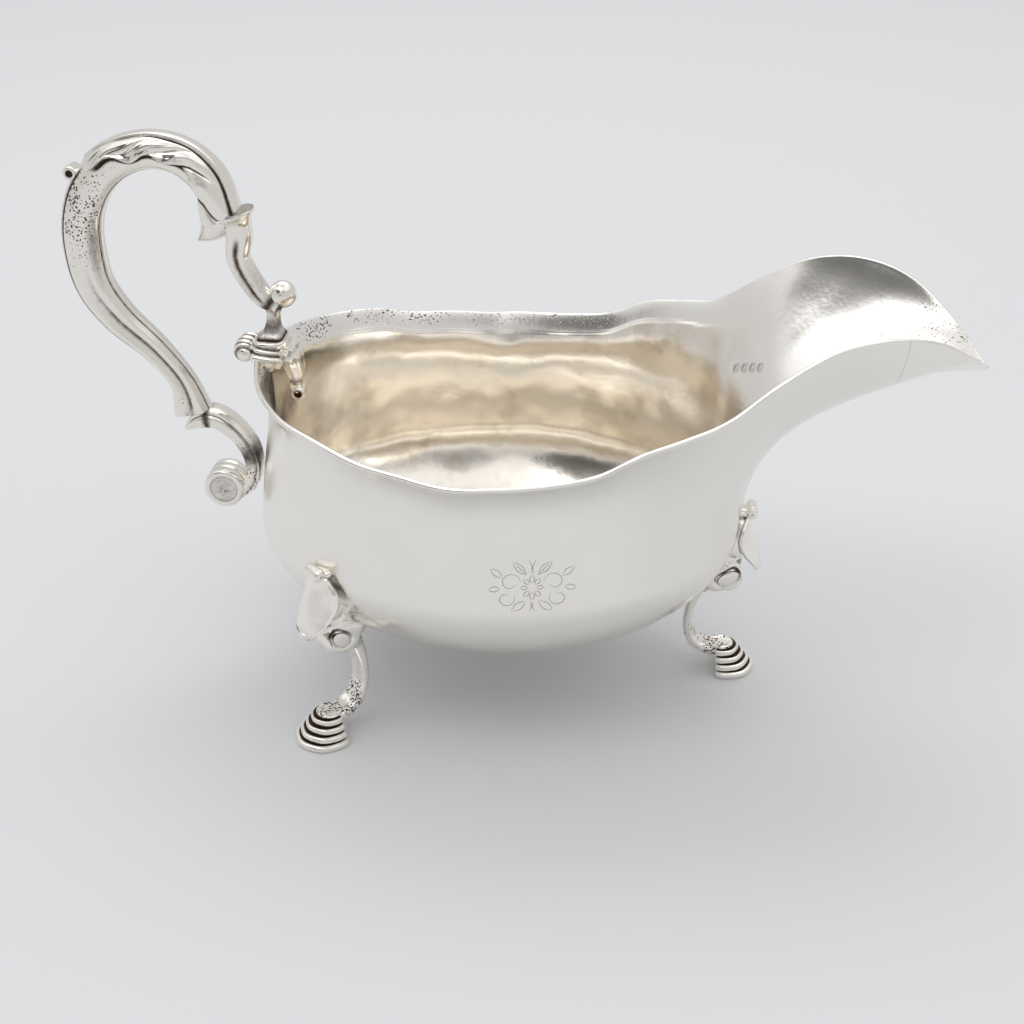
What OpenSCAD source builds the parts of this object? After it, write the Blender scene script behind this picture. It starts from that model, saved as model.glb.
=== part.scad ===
// Silver sauce boat: a raised bowl with a let-in lip, a cast flying scroll handle and three cast hoof feet.
// +X points to the lip, +Z is up, and the origin is on the table under the middle of the whole length.

/* [Bowl] */
// Length from the middle of the bowl to the point of the lip
lip_reach = 107.5; // [95:0.5:130]
// Length from the middle of the bowl to the rim under the handle
back_reach = 57.5; // [50:0.5:70]
// Greatest width across the rim
rim_w = 97.5; // [80:0.5:118]
// Height of the rim at the middle of each side
rim_h = 72.5; // [62:0.5:88]
// How much the lip's crest stands above the sides of the rim
lip_rise = 26; // [18:0.5:32]
// Greatest width of the belly
belly_w = 93.4; // [76:0.5:110]
// Height of the widest part of the belly
belly_h = 42; // [37:0.5:48]
// Gap between the table and the lowest point of the bowl
bowl_gap = 13; // [10:0.5:16]
// Thickness of the raised sheet
sheet_t = 1.1; // [0.8:0.05:1.6]
// Distance from the point of the lip back to the seam of the let-in piece
lip_seam = 22; // [16:0.5:26]

/* [Handle] */
// How far the main scroll reaches behind the rim
handle_reach = 41; // [34:0.5:50]
// Height of the main scroll above the back of the rim
handle_rise = 51; // [42:0.5:62]
// Depth of the main scroll in its own plane, at its thickest
scroll_depth = 9.4; // [8:0.1:11.4]
// Width of the main scroll across the boat
scroll_w = 8; // [6.5:0.1:9.6]
// Wall of the two hollow halves
scroll_wall = 1.4; // [1:0.1:1.8]
// Thickness of the leaf that caps the scroll
leaf_t = 0.9; // [0.7:0.05:1.2]
// Radius of the ball above the stem
ball_r = 3.1; // [2.6:0.1:3.8]
// Width of the lower scroll's band across the boat
band_w = 6.4; // [5:0.1:7.8]
// Radius of the rolled end of the lower scroll
roll_r = 4.8; // [4:0.1:5.8]
// Width of the plinth across the boat
plinth_w = 12; // [10:0.5:14.5]

/* [Feet] */
// Distance from the middle of the bowl to the middle of the front sole
front_reach = 55.5; // [50:0.5:60]
// Distance from the middle of the bowl to the middle of each rear sole
rear_reach = 53.5; // [48:0.5:58]
// Angle of each rear foot from the handle's direction, as seen from above
rear_angle = 44; // [38:1:52]
// Height of the knee's curl
knee_h = 46; // [42:0.5:50]
// Lean of the rear knees towards the bowl, in degrees
rear_lean = 5.5; // [0:0.5:9]
// Width of the knee between its two eyes
knee_w = 9.6; // [8:0.1:11.5]
// Width of the shield-shaped lappet
lappet_w = 12.6; // [10.4:0.1:15]
// Depth to which each eye is let into the knee
eye_seat = 0.5; // [0.3:0.1:0.8]
// Width of the shank
shank_w = 5; // [4:0.1:6]
// Radius of the sole
sole_r = 6.9; // [5.8:0.1:8.2]
// Height of the hoof
hoof_h = 6.2; // [5.2:0.1:7.6]

/* [Hidden] */
$fn = 48;

// Steps of the bowl's grid: from lip to handle on one side, down the wall, and over the bottom
side_steps = 32;
wall_steps = 11;
base_steps = 8;

silver = "#cfcdc8";

// The middle of the bowl, measured from the middle of the whole length
bowl_x = (back_reach + handle_reach - lip_reach) / 2;

function unit(v) = v / norm(v);
function mix(a, b, t) = a + (b - a) * t;
function smooth(t) = let (c = max(0, min(1, t))) c * c * (3 - 2 * c);

// A smooth curve through the points, with u from 0 to 1
function catmull(a, b, c, d, t) =
    0.5 * (2 * b + (c - a) * t + (2 * a - 5 * b + 4 * c - d) * t * t + (3 * b - a - 3 * c + d) * t * t * t);
function curve(points, u) =
    let (n = len(points) - 1, s = u * n, i = min(floor(s), n - 1))
    catmull(points[max(i - 1, 0)], points[i], points[i + 1], points[min(i + 2, n)], s - i);
function bezier(a, b, c, d, t) =
    let (s = 1 - t) s * s * s * a + 3 * s * s * t * b + 3 * s * t * t * c + t * t * t * d;

// ---- The bowl's surface ----

// The rim on one side, from the lip's point to the handle: place along the boat as a share of lip_reach or
// back_reach, half width as a share of rim_w / 2, and height as a share of lip_rise above rim_h
rim_shape = [
    [1.000, 0.000, 0.37], [0.945, 0.22, 0.63], [0.860, 0.40, 0.90], [0.760, 0.51, 1.00], [0.655, 0.585, 0.93],
    [0.560, 0.64, 0.70], [0.465, 0.71, 0.42], [0.385, 0.80, 0.33], [0.300, 0.88, 0.25], [0.215, 0.92, 0.09],
    [0.115, 0.965, 0.03], [0.000, 0.995, 0.01], [-0.140, 0.985, 0.00], [-0.310, 0.935, 0.04],
    [-0.470, 0.865, 0.07], [-0.630, 0.775, 0.16], [-0.800, 0.61, 0.21], [-0.925, 0.36, 0.27], [-1.000, 0.000, 0.31]
];
function rim_point(u) =
    let (p = curve(rim_shape, u))
    [bowl_x + p[0] * (p[0] > 0 ? lip_reach : back_reach), max(p[1], 0) * rim_w / 2, rim_h + p[2] * lip_rise];

belly_front = 56;
belly_back = 57.5;
belly_fullness = 1.85;
function belly_point(u) =
    let (
        r = rim_point(u),
        long = r[0] > bowl_x ? belly_front : belly_back,
        a = u == 0 ? 0 : u == 1 ? 180 : atan2(r[1] / (belly_w / 2), (r[0] - bowl_x) / long)
    )
    [bowl_x + long * cos(a), belly_w / 2 * sin(a), belly_h];

// The wall, with v from 0 at the rim to 1 at the belly
flare_l = 10;
neck_in = 1.2;
function wall_point(u, v) =
    let (
        r = rim_point(u),
        b = belly_point(u),
        out = unit([b[0] - bowl_x, b[1] * pow(belly_front / (belly_w / 2), 2), 0]),
        span = norm([r[0] - b[0], r[1] - b[1]]),
        lip = smooth((span - 6) / 40),
        go = unit(mix(out, [r[0] - b[0], r[1] - b[1], 0] / max(span, 1), lip)),
        climb = mix(55, 2 + 60 * smooth(r[1] / (rim_w / 2) / 0.5), lip),
        pull = mix(flare_l, 0.42 * span + 4, lip),
        rise = (r[2] - b[2]) * mix(0.5, 0.72, lip)
    )
    bezier(r, r - pull * (go * cos(climb) + [0, 0, sin(climb)]), b + [0, 0, rise] - out * neck_in * (1 - lip), b, v);

// The bottom, with v from 0 at the belly to 1 at the lowest point
function base_point(u, v) =
    let (b = belly_point(u), k = 2 / belly_fullness)
    [mix(bowl_x, b[0], pow(cos(90 * v), k)), b[1] * pow(cos(90 * v), k),
     belly_h - (belly_h - bowl_gap) * pow(sin(90 * v), k)];

function half_point(u, j) = j <= wall_steps ? wall_point(u, j / wall_steps) : base_point(u, (j - wall_steps) / base_steps);
around = 2 * side_steps;
rows = wall_steps + base_steps;
function mirrored(p, flip) = flip ? [p[0], -p[1], p[2]] : p;
half_grid = [for (j = [0:rows - 1]) [for (i = [0:side_steps]) half_point(i / side_steps, j)]];
// One ring at each row, starting at the lip and going round by +Y
outer_rings = [for (row = half_grid) [for (i = [0:around - 1]) mirrored(row[i <= side_steps ? i : around - i], i > side_steps)]];
outer_low = [bowl_x, 0, bowl_gap];
function ring_normal(j, i) =
    let (
        g = outer_rings,
        along = g[j][(i + 1) % around] - g[j][(i + around - 1) % around],
        up = g[max(j - 1, 0)][i] - (j + 1 < rows ? g[j + 1][i] : outer_low)
    )
    unit(cross(along, up));
inner_rings = [for (j = [0:rows - 1]) [for (i = [0:around - 1]) outer_rings[j][i] - sheet_t * ring_normal(j, i)]];
inner_low = outer_low + [0, 0, sheet_t];

function band_faces(a, b, n) = [for (i = [0:n - 1]) each let (k = (i + 1) % n) [[a + i, a + k, b + k], [a + i, b + k, b + i]]];
function flipped(faces) = [for (f = faces) [f[2], f[1], f[0]]];
function flat(rings) = [for (r = rings) each r];

module bowl_shell() {
    n = around * rows;
    outer = [for (j = [0:rows - 2]) each band_faces(j * around, (j + 1) * around, around)];
    outer_cap = [for (i = [0:around - 1]) [(rows - 1) * around + i, (rows - 1) * around + (i + 1) % around, 2 * n]];
    inner = [for (f = concat(outer, outer_cap)) [for (k = f) k == 2 * n ? 2 * n + 1 : k + n]];
    edge = band_faces(n, 0, around);
    polyhedron(
        points = concat(flat(outer_rings), flat(inner_rings), [outer_low, inner_low]),
        faces = concat(outer, outer_cap, flipped(inner), edge)
    );
}

// ---- Shared shapes ----

// A closed skin over rings of points that all have the same count, with a flat end on each end ring
module loft(rings) {
    n = len(rings[0]);
    last = len(rings) - 1;
    walls = [for (j = [0:last - 1]) each band_faces((j + 1) * n, j * n, n)];
    polyhedron(
        points = flat(rings),
        faces = concat(walls, [[for (i = [0:n - 1]) i]], [[for (i = [n - 1:-1:0]) last * n + i]])
    );
}

// One closed mesh of its children, at their own size
module as_mesh() {
    resize([0, 0, 0]) children();
}

// A ring across a path that lies in the boat's middle plane. The outline's first number is measured away
// from the path in that plane, to the left of its direction, and the second is measured across the boat.
function ring_across(path, u, outline) =
    let (
        p = curve(path, u),
        d = unit(curve(path, min(u + 0.01, 1)) - curve(path, max(u - 0.01, 0))),
        side = [-d[1], 0, d[0]]
    )
    [for (o = outline) [p[0], 0, p[1]] + o[0] * side + [0, o[1], 0]];

oval_turn = [for (i = [0:19]) i * 18];
function signed_pow(x, k) = sign(x) * pow(abs(x), k);
squareness = 0.85;
function oval(a, b) = [for (t = oval_turn) [a * signed_pow(sin(t), squareness), b * signed_pow(cos(t), squareness)]];

// A bar along a path: its depth and width are read from lists that run with the path
module bar(path, depths, widths, steps) {
    loft([for (i = [0:steps]) let (u = i / steps)
        ring_across(path, u, oval(curve(depths, u) / 2, curve(widths, u) / 2))]);
}

// A roll that lies across the boat or across a foot
module roll(x, z, r, w) {
    translate([x, w / 2, z]) rotate([90, 0, 0]) cylinder(r = r, h = w);
}

// ---- Bowl and lip ----

// The filled outer shape of the bowl from a little below its rim, which soldered pieces are cut to fit
core_row = 2;
module bowl_core() {
    rings = [for (j = [core_row:rows - 1]) outer_rings[j]];
    last = len(rings) - 1;
    n = around * len(rings);
    lid = [bowl_x, 0, rim_h];
    polyhedron(
        points = concat(flat(rings), [outer_low, lid]),
        faces = concat(
            [for (j = [0:last - 1]) each band_faces(j * around, (j + 1) * around, around)],
            [for (i = [0:around - 1]) [last * around + i, last * around + (i + 1) % around, n]],
            [for (i = [0:around - 1]) [(i + 1) % around, i, n + 1]]
        )
    );
}

seam_x = bowl_x + lip_reach - lip_seam;
module beyond_seam() {
    translate([seam_x, -rim_w / 2, rim_h]) cube([2 * lip_seam, rim_w, 2 * lip_rise]);
}

module bowl() {
    color(silver) as_mesh() difference() {
        bowl_shell();
        beyond_seam();
    }
}

module spout_lip() {
    color(silver) as_mesh() intersection() {
        bowl_shell();
        beyond_seam();
    }
}

// ---- Handle ----

rim_back = [bowl_x - back_reach, rim_h + rim_shape[len(rim_shape) - 1][2] * lip_rise];
scroll_run = handle_reach - scroll_depth / 2;
scroll_lift = handle_rise - scroll_depth / 2 - leaf_t / 2;

// The main scroll stands on the lower scroll, and its other points up to its end under the leaf are shares of its
// run and lift
scroll_foot = [-15.6, -15.6];
scroll_shape = [
    [0.480, -0.175], [0.633, -0.003], [0.838, 0.160], [0.962, 0.322], [1.000, 0.500],
    [0.983, 0.675], [0.900, 0.830], [0.745, 0.945], [0.540, 1.000], [0.340, 0.973], [0.188, 0.868], [0.108, 0.690]
];
scroll_path = concat(
    [rim_back + scroll_foot],
    [for (s = scroll_shape) rim_back + [-s[0] * scroll_run, s[1] * scroll_lift]]
);
scroll_depths = scroll_depth * [1.00, 0.70, 0.73, 0.89, 0.97, 1.00, 0.98, 0.95, 0.86, 0.80, 0.82, 0.84, 0.78];
scroll_widths = scroll_w * [0.86, 0.74, 0.78, 0.88, 0.98, 1.00, 1.00, 0.97, 0.92, 0.90, 0.92, 0.94, 0.90];
scroll_steps = 30;

module scroll_outer() {
    bar(scroll_path, scroll_depths, scroll_widths, scroll_steps);
}
module scroll_hollow() {
    bar(scroll_path, [for (d = scroll_depths) d - 2 * scroll_wall], [for (w = scroll_widths) w - 2 * scroll_wall], scroll_steps);
}

module scroll_half(side) {
    color(silver) as_mesh() difference() {
        scroll_outer();
        scroll_hollow();
        translate([rim_back[0] - handle_reach - 1, side > 0 ? -scroll_w : 0, 0]) cube([handle_reach + 2, scroll_w, 2 * rim_h]);
        lower_band();
    }
}
module main_scroll_near_half() scroll_half(-1);
module main_scroll_far_half() scroll_half(1);

// The leaf lies on the outer side of the scroll from leaf_start on, and spreads round it towards its end
leaf_start = 0.615;
leaf_steps = 24;
leaf_points = 14;
leaf_waves = 4.5;
function leaf_spread(t) =
    mix(62, 92, smooth(t / 0.3)) + 48 * smooth((t - 0.62) / 0.38) + 8 * sin(360 * leaf_waves * t) * (1 - t);
function leaf_ring(i) =
    let (
        t = i / leaf_steps,
        u = mix(leaf_start, 1, t),
        a = curve(scroll_depths, u) / 2 + leaf_t,
        b = curve(scroll_widths, u) / 2 + leaf_t,
        c = leaf_spread(t)
    )
    ring_across(scroll_path, u, concat([[0, 0]], [for (k = [0:leaf_points])
        let (f = 90 - c + 2 * c * k / leaf_points)
        [a * signed_pow(sin(f), squareness), b * signed_pow(cos(f), squareness)]]));

scroll_end = scroll_path[len(scroll_path) - 1];
spur_path = [for (p = [[-1.6, 1.0], [-4.2, -2.6], [-6.4, -5.6]]) scroll_end + p];
module leaf_solid() {
    loft([for (i = [0:leaf_steps]) leaf_ring(i)]);
    bar(spur_path, [5.6, 3.6, 0.8], [7, 5, 1.2], 6);
}
module leaf_cap() {
    color(silver) as_mesh() difference() {
        leaf_solid();
        scroll_outer();
    }
}

bead_r = 1.4;
bead_u = leaf_start - 0.03;
module thumb_bead() {
    reach = curve(scroll_depths, bead_u) / 2 + 0.3 * bead_r;
    at = ring_across(scroll_path, bead_u, [[reach, 0]])[0];
    color(silver) as_mesh() difference() {
        translate(at) rotate([90, 0, 0]) cylinder(r = bead_r, h = 0.5 * scroll_w, center = true, $fn = 24);
        scroll_outer();
        leaf_solid();
    }
}

// The upper scroll hangs from the leaf's end and turns in under the ball
ball_at = rim_back + [7.9, 14.2];
upper_path = [scroll_end + [1.9, 1.4], scroll_end + [3.0, -3.6], scroll_end + [2.4, -8.6], ball_at + [-7.9, 4.6],
    ball_at + [-4.8, -0.4], ball_at + [-1.4, -3.0]];
upper_depths = [9.4, 6.4, 5.6, 5.4, 4.8, 3.4];
upper_widths = [8.2, 5.8, 5.2, 5.2, 5.0, 4.6];
module upper_bar() {
    bar(upper_path, upper_depths, upper_widths, 18);
}
module upper_scroll() {
    color(silver) as_mesh() difference() {
        upper_bar();
        scroll_outer();
        leaf_solid();
        translate([ball_at[0], 0, ball_at[1]]) sphere(ball_r);
    }
}

module ball() {
    color(silver) translate([ball_at[0], 0, ball_at[1]]) sphere(ball_r);
}

stem_top = [ball_at[0] - 2.2, ball_at[1] - 3.2];
plinth_top = [rim_back[0] + 4.6, rim_back[1] + 3.9];
stem_shape = [[3.6, 4.4], [3.0, 3.8], [3.2, 4.2], [4.2, 5.6], [6.0, 7.6]];
module stem() {
    color(silver) as_mesh() difference() {
        loft([for (i = [0:10]) let (u = i / 10, p = mix(stem_top, plinth_top, u), s = curve(stem_shape, u))
            [for (q = oval(s[0] / 2, s[1] / 2)) [p[0] + q[0], q[1], p[1]]]]);
        upper_bar();
        translate([ball_at[0], 0, ball_at[1]]) sphere(ball_r);
    }
}

// Three rounded steps and a skirt that straddles the rim
plinth_l = 9.6;
plinth_step = 1.3;
skirt_h = 2.4;
module slab(l, w, h, r) {
    linear_extrude(h) offset(r) square([l - 2 * r, w - 2 * r], center = true);
}
module plinth_block() {
    base = plinth_top[1] - 3 * plinth_step;
    for (i = [0:2]) translate([plinth_top[0] - 0.5 * i, 0, base])
        slab(plinth_l * (0.76 + 0.12 * i), plinth_w * (0.76 + 0.12 * i), (3 - i) * plinth_step, 0.6);
    translate([plinth_top[0] - 1.6, 0, base - skirt_h]) slab(plinth_l, plinth_w * 0.9, skirt_h + plinth_step / 2, 1.4);
}
module plinth() {
    color(silver) as_mesh() difference() {
        plinth_block();
        bowl_shell();
    }
}

// A leaf that hangs from the plinth down the inside of the bowl
drop_path = [plinth_top + [3.2, -3.2], plinth_top + [3.9, -7.0], plinth_top + [3.7, -11], plinth_top + [4.2, -15]];
module rim_drop() {
    color(silver) as_mesh() difference() {
        bar(drop_path, [5.6, 4.8, 3.8, 2.2], [10, 8.4, 5.6, 1.8], 12);
        plinth_block();
        bowl_shell();
    }
}

// The lower scroll carries the main scroll's foot, leans on the bowl's back and ends in a roll
band_shape = [[-17.4, -19.6], [-14.2, -17.4], [-10.2, -17.0], [-5.8, -20.2], [-2.9, -24.8], [-2.2, -29.6], [-3.8, -34.2],
    [-7.4, -37.4]];
band_path = [for (b = band_shape) rim_back + b];
band_depths = [1.6, 4.4, 5.0, 4.6, 4.2, 4.0, 3.8, 2.6];
roll_at = rim_back + [-9.4, -34.6];
module lower_band() {
    bar(band_path, band_depths, [band_w * 0.7, band_w, band_w, band_w, band_w, band_w, band_w, band_w * 0.9], 24);
}
module lower_scroll() {
    color(silver) as_mesh() difference() {
        lower_band();
        bowl_core();
        roll(roll_at[0], roll_at[1], roll_r, 2 * band_w);
    }
}

roll_w = band_w + 1.2;
edge_r = 0.8;
module volute_roll() {
    color(silver) translate([roll_at[0], roll_w / 2, roll_at[1]]) rotate([90, 0, 0]) rotate_extrude() {
        translate([0, edge_r]) square([roll_r, roll_w - 2 * edge_r]);
        square([roll_r - edge_r, roll_w]);
        for (z = [edge_r, roll_w - edge_r]) translate([roll_r - edge_r, z]) circle(edge_r);
    }
}

// ---- Feet ----

// A foot is drawn with its toe towards +X and the middle of its sole on the origin
module at_foot(which) {
    turn = which == "front" ? 0 : which == "near" ? 180 + rear_angle : 180 - rear_angle;
    reach = which == "front" ? front_reach : rear_reach;
    translate([bowl_x, 0, 0]) rotate([0, 0, turn]) translate([reach, 0, 0]) children();
}

// A point of the foot's side view, leaned back from the ankle up on the two rear feet
ankle_h = 8;
function leaned(which, p) = p - [which == "front" ? 0 : tan(rear_lean) * max(p[1] - ankle_h, 0), 0];
function leaned_all(which, points) = [for (p = points) leaned(which, p)];

// Stations of the knee from under the lappet's curl down to the top of the shank: place, radius, share of knee_w
knee_stations = [
    [[1.3, knee_h - 4.5], 1.6, 0.50], [[-0.2, knee_h - 9], 1.8, 0.66], [[-0.2, knee_h - 14], 2.8, 0.88],
    [[-1.7, knee_h - 17.8], 3.1, 1.00], [[-5.4, knee_h - 20.2], 2.1, 0.88], [[-8.2, knee_h - 23.2], 1.2, 0.64]
];
knee_root = [-6, 5];
eye_place = [-1.4, knee_h - 18];
eye_r = 1.6;
eye_run = 2.6;
eye_lean = 38;
module eye_disc(grow, h) {
    rotate([90, eye_lean, 0]) translate([0, 0, -h / 2]) {
        for (x = [-1, 1]) translate([x * eye_run / 2, 0, 0]) cylinder(r = eye_r + grow, h = h);
        translate([-eye_run / 2, -eye_r - grow, 0]) cube([eye_run, 2 * (eye_r + grow), h]);
    }
}
module knee_station(which, s) {
    for (p = [s[0], s[0] + knee_root]) let (q = leaned(which, p)) roll(q[0], q[1], s[1], knee_w * s[2], $fn = 24);
}
module knee_solid(which) {
    for (i = [0:len(knee_stations) - 2]) hull() {
        knee_station(which, knee_stations[i]);
        knee_station(which, knee_stations[i + 1]);
    }
}
module at_eyes(which, y) {
    p = leaned(which, eye_place);
    for (side = [-1, 1]) translate([p[0], side * y, p[1]]) children();
}
module knee(which) {
    color(silver) as_mesh() difference() {
        at_foot(which) difference() {
            knee_solid(which);
            at_eyes(which, knee_w / 2) eye_disc(0.35, 2 * eye_seat);
        }
        bowl_core();
    }
}

// The lappet: a curl at the top and a bowed shield that hangs clear of the knee
curl_r = 1.4;
curl_at = [3.3, knee_h - curl_r];
lappet_path = [[3.1, knee_h - 2.2], [3.7, knee_h - 5], [4.8, knee_h - 8.2], [5.7, knee_h - 11.4], [6.2, knee_h - 14.2],
    [5.8, knee_h - 16.6]];
lappet_widths = lappet_w * [0.52, 0.94, 1.00, 0.92, 0.74, 0.40];
lappet_bow = [0.6, 2.4, 3.8, 3.2, 1.6, 0.3];
lappet_t = 1.3;
lappet_steps = 12;
bow_steps = 8;
// A level ring of the shield: its outer side is bowed, and it thins to half of lappet_t at its edges
function shield_ring(p, w, bow) = concat(
    [for (i = [0:bow_steps]) let (k = 1 - 2 * i / bow_steps) [p[0] - bow * k * k, w / 2 * k, p[1]]],
    [for (i = [0:bow_steps]) let (k = 2 * i / bow_steps - 1)
        [p[0] - bow * k * k - lappet_t * (1 - 0.5 * k * k), 0.96 * w / 2 * k, p[1]]]
);
module lappet_solid(which) {
    path = leaned_all(which, lappet_path);
    curl = leaned(which, curl_at);
    roll(curl[0], curl[1], curl_r, lappet_w * 0.46, $fn = 32);
    loft([for (i = [0:lappet_steps]) let (u = i / lappet_steps)
        shield_ring(curve(path, u), curve(lappet_widths, u), curve(lappet_bow, u))]);
}
module lappet(which) {
    color(silver) as_mesh() difference() {
        at_foot(which) difference() {
            lappet_solid(which);
            knee_solid(which);
        }
        bowl_core();
    }
}

eye_proud = 0.5;
module eyes(which) {
    color(silver) at_foot(which) at_eyes(which, knee_w / 2 + (eye_proud - eye_seat) / 2) eye_disc(0, eye_seat + eye_proud);
}

// The shank: a thin curved strap that runs behind the heel and ends in a round pad on the hoof
pad_r = 3.1;
pad_x = -1.6;
pad_t = 0.7;
heel = 2.6;
shank_path = [[-6.6, knee_h - 22], [-9.3, knee_h - 27.2], [-10.0, knee_h - 31.6], [-9.4, hoof_h + 3.9], [-7.2, hoof_h + 0.4],
    [-3.8, hoof_h - 1.4], [-0.8, hoof_h - 1.8]];
module shank(which) {
    color(silver) as_mesh() difference() {
        at_foot(which) difference() {
            union() {
                bar(leaned_all(which, shank_path), [3.2, 2.6, 2.4, 2.4, 2.6, 3.4, 4.2],
                    shank_w * [1.1, 1.0, 0.96, 1.0, 1.08, 1.1, 1.0], 18);
                translate([pad_x, 0, hoof_h]) cylinder(r = pad_r, h = pad_t);
            }
            knee_solid(which);
            translate([-heel, -sole_r, -1]) cube([2 * sole_r, 2 * sole_r, hoof_h + 1]);
        }
        bowl_core();
    }
}

// The hoof: four round-edged layers that step back towards the heel, cut flat at the heel
layers = 4;
layer_shrink = [0, 0.8, 1.8, 3.0];
module hoof_solid() {
    h = hoof_h / layers;
    difference() {
        union() {
            cylinder(r = sole_r - layer_shrink[layers - 1] - h / 2, h = hoof_h);
            for (i = [0:layers - 1]) translate([-layer_shrink[i] * 0.35, 0, i * h]) rotate_extrude() {
                square([sole_r - layer_shrink[i] - h / 2, h]);
                translate([sole_r - layer_shrink[i] - h / 2, h / 2]) intersection() {
                    circle(h / 2);
                    translate([0, -h / 2]) square([h, h]);
                }
            }
        }
        translate([-heel - 2 * sole_r, -sole_r, -1]) cube([2 * sole_r, 2 * sole_r, hoof_h + 2]);
    }
}
module hoof(which) {
    color(silver) at_foot(which) hoof_solid();
}

bowl();
spout_lip();
main_scroll_near_half();
main_scroll_far_half();
leaf_cap();
thumb_bead();
upper_scroll();
ball();
stem();
plinth();
rim_drop();
lower_scroll();
volute_roll();
knee("front");  // front_knee
lappet("front");  // front_lappet
eyes("front");  // front_eyes
shank("front");  // front_shank
hoof("front");  // front_hoof
knee("near");  // near_knee
lappet("near");  // near_lappet
eyes("near");  // near_eyes
shank("near");  // near_shank
hoof("near");  // near_hoof
knee("far");  // far_knee
lappet("far");  // far_lappet
eyes("far");  // far_eyes
shank("far");  // far_shank
hoof("far");  // far_hoof
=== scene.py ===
# %% [markdown]
# # A silver sauce boat on three hoof feet
# The boat is a raised sheet of silver with castings soldered to it: a flying scroll handle, a plinth and three feet.
# The CAD model gives every size and place. This lesson dresses it: each part is drawn again with the relief, wear and
# tarnish of old silver, in the same frame, and stands in for its CAD node.
# %% Load the frame
import math

import bmesh
import bpy
import numpy as np
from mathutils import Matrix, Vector
from mathutils.bvhtree import BVHTree


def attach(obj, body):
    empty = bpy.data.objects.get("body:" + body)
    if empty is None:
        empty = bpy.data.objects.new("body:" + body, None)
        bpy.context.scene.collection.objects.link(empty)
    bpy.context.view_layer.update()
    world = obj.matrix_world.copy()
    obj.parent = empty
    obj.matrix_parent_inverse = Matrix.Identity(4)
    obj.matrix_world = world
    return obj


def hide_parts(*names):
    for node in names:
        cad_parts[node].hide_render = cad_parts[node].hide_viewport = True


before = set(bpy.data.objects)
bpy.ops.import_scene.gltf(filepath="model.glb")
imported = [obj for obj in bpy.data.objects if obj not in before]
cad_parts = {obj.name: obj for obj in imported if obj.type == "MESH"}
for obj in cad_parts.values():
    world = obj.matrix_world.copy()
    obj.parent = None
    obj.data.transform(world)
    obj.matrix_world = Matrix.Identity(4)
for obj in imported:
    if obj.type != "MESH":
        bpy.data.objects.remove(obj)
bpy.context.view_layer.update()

# %% [markdown]
# Drawing sizes are in millimetres, as on a silversmith's drawing, and are scaled to metres once, when a mesh is made.
# Most castings are a section swept along a curved path, so the first helpers are a smooth curve, a squarish oval and
# a sweep. Numpy works on all the points at once, which keeps fine meshes quick to build.
# %% Curves and blends
MM = 0.001


def unit(v):
    return v / np.maximum(np.linalg.norm(v, axis=-1, keepdims=True), 1e-12)


def smooth(t):
    t = np.clip(t, 0, 1)
    return t * t * (3 - 2 * t)


def bump(t, centre, width):
    """A soft bell of height 1 at centre."""
    return np.exp(-(((t - centre) / width) ** 2))


def curve(points, u):
    """A smooth curve through the points, read at each u from 0 to 1."""
    p = np.asarray(points, float).reshape(len(points), -1)
    n = len(p) - 1
    s = np.clip(np.atleast_1d(np.asarray(u, float)), 0, 1) * n
    i = np.minimum(s.astype(int), n - 1)
    t = (s - i)[:, None]
    a, b, c, d = p[np.maximum(i - 1, 0)], p[i], p[i + 1], p[np.minimum(i + 2, n)]
    return 0.5 * (2 * b + (c - a) * t + (2 * a - 5 * b + 4 * c - d) * t**2 + (3 * b - a - 3 * c + d) * t**3)


def spow(x, k):
    """A power that keeps the sign, which squares up a circle when k is below 1."""
    return np.sign(x) * np.abs(x) ** k


print("a curve through 3 points passes", curve([[0, 0], [1, 2], [2, 0]], [0.5]).tolist(), "half way")


# %% [markdown]
# A sweep gives rings of points: one ring for each step of the path, each with the same count. Closing them into a skin
# joins ring to ring and fans each end to a middle point. Every piece also carries two painted values for its vertices:
# tarnish and shade, which is dark sulphide left in the hollows that polishing misses and, in the knee's eye grooves and
# the hoof's steps, painted shade too; and pits, which is porous casting.
# %% Rings, skins and pieces
def across(path, u, outlines):
    """Rings across a path in the boat's middle plane.

    outlines is (steps, n, 2): how far each point lies from the path in that plane, and how far across the boat.
    """
    u = np.asarray(u, float)
    p = curve(path, u)
    d = unit(curve(path, np.minimum(u + 0.01, 1)) - curve(path, np.maximum(u - 0.01, 0)))
    side = np.stack([-d[:, 1], np.zeros(len(u)), d[:, 0]], 1)
    mid = np.stack([p[:, 0], np.zeros(len(u)), p[:, 1]], 1)
    return mid[:, None] + outlines[..., :1] * side[:, None] + outlines[..., 1:] * np.array([0, 1.0, 0])


SQUARE = 0.85


def ovals(a, b, n=64, square=SQUARE):
    """Squarish oval outlines with half sizes a and b, which run with the steps."""
    t = np.arange(n) * 2 * math.pi / n
    a, b = np.broadcast_arrays(np.atleast_1d(a), np.atleast_1d(b))
    return np.stack([a[:, None] * spow(np.sin(t), square), b[:, None] * spow(np.cos(t), square)], -1)


def band_quads(first, second, n):
    i = np.arange(n)
    k = (i + 1) % n
    return np.stack([first + i, first + k, second + k, second + i], 1).tolist()


def skin(rings):
    """Closed skin over rings (steps, n, 3): points and faces, with a fan at each end."""
    m, n = rings.shape[:2]
    points = np.concatenate([rings.reshape(-1, 3), [rings[0].mean(0), rings[-1].mean(0)]])
    faces = [q for j in range(m - 1) for q in band_quads(j * n + n, j * n, n)]
    i = np.arange(n)
    k = (i + 1) % n
    faces += np.stack([i, k, np.full(n, m * n)], 1).tolist()
    faces += np.stack([(m - 1) * n + k, (m - 1) * n + i, np.full(n, m * n + 1)], 1).tolist()
    return points, faces


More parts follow.
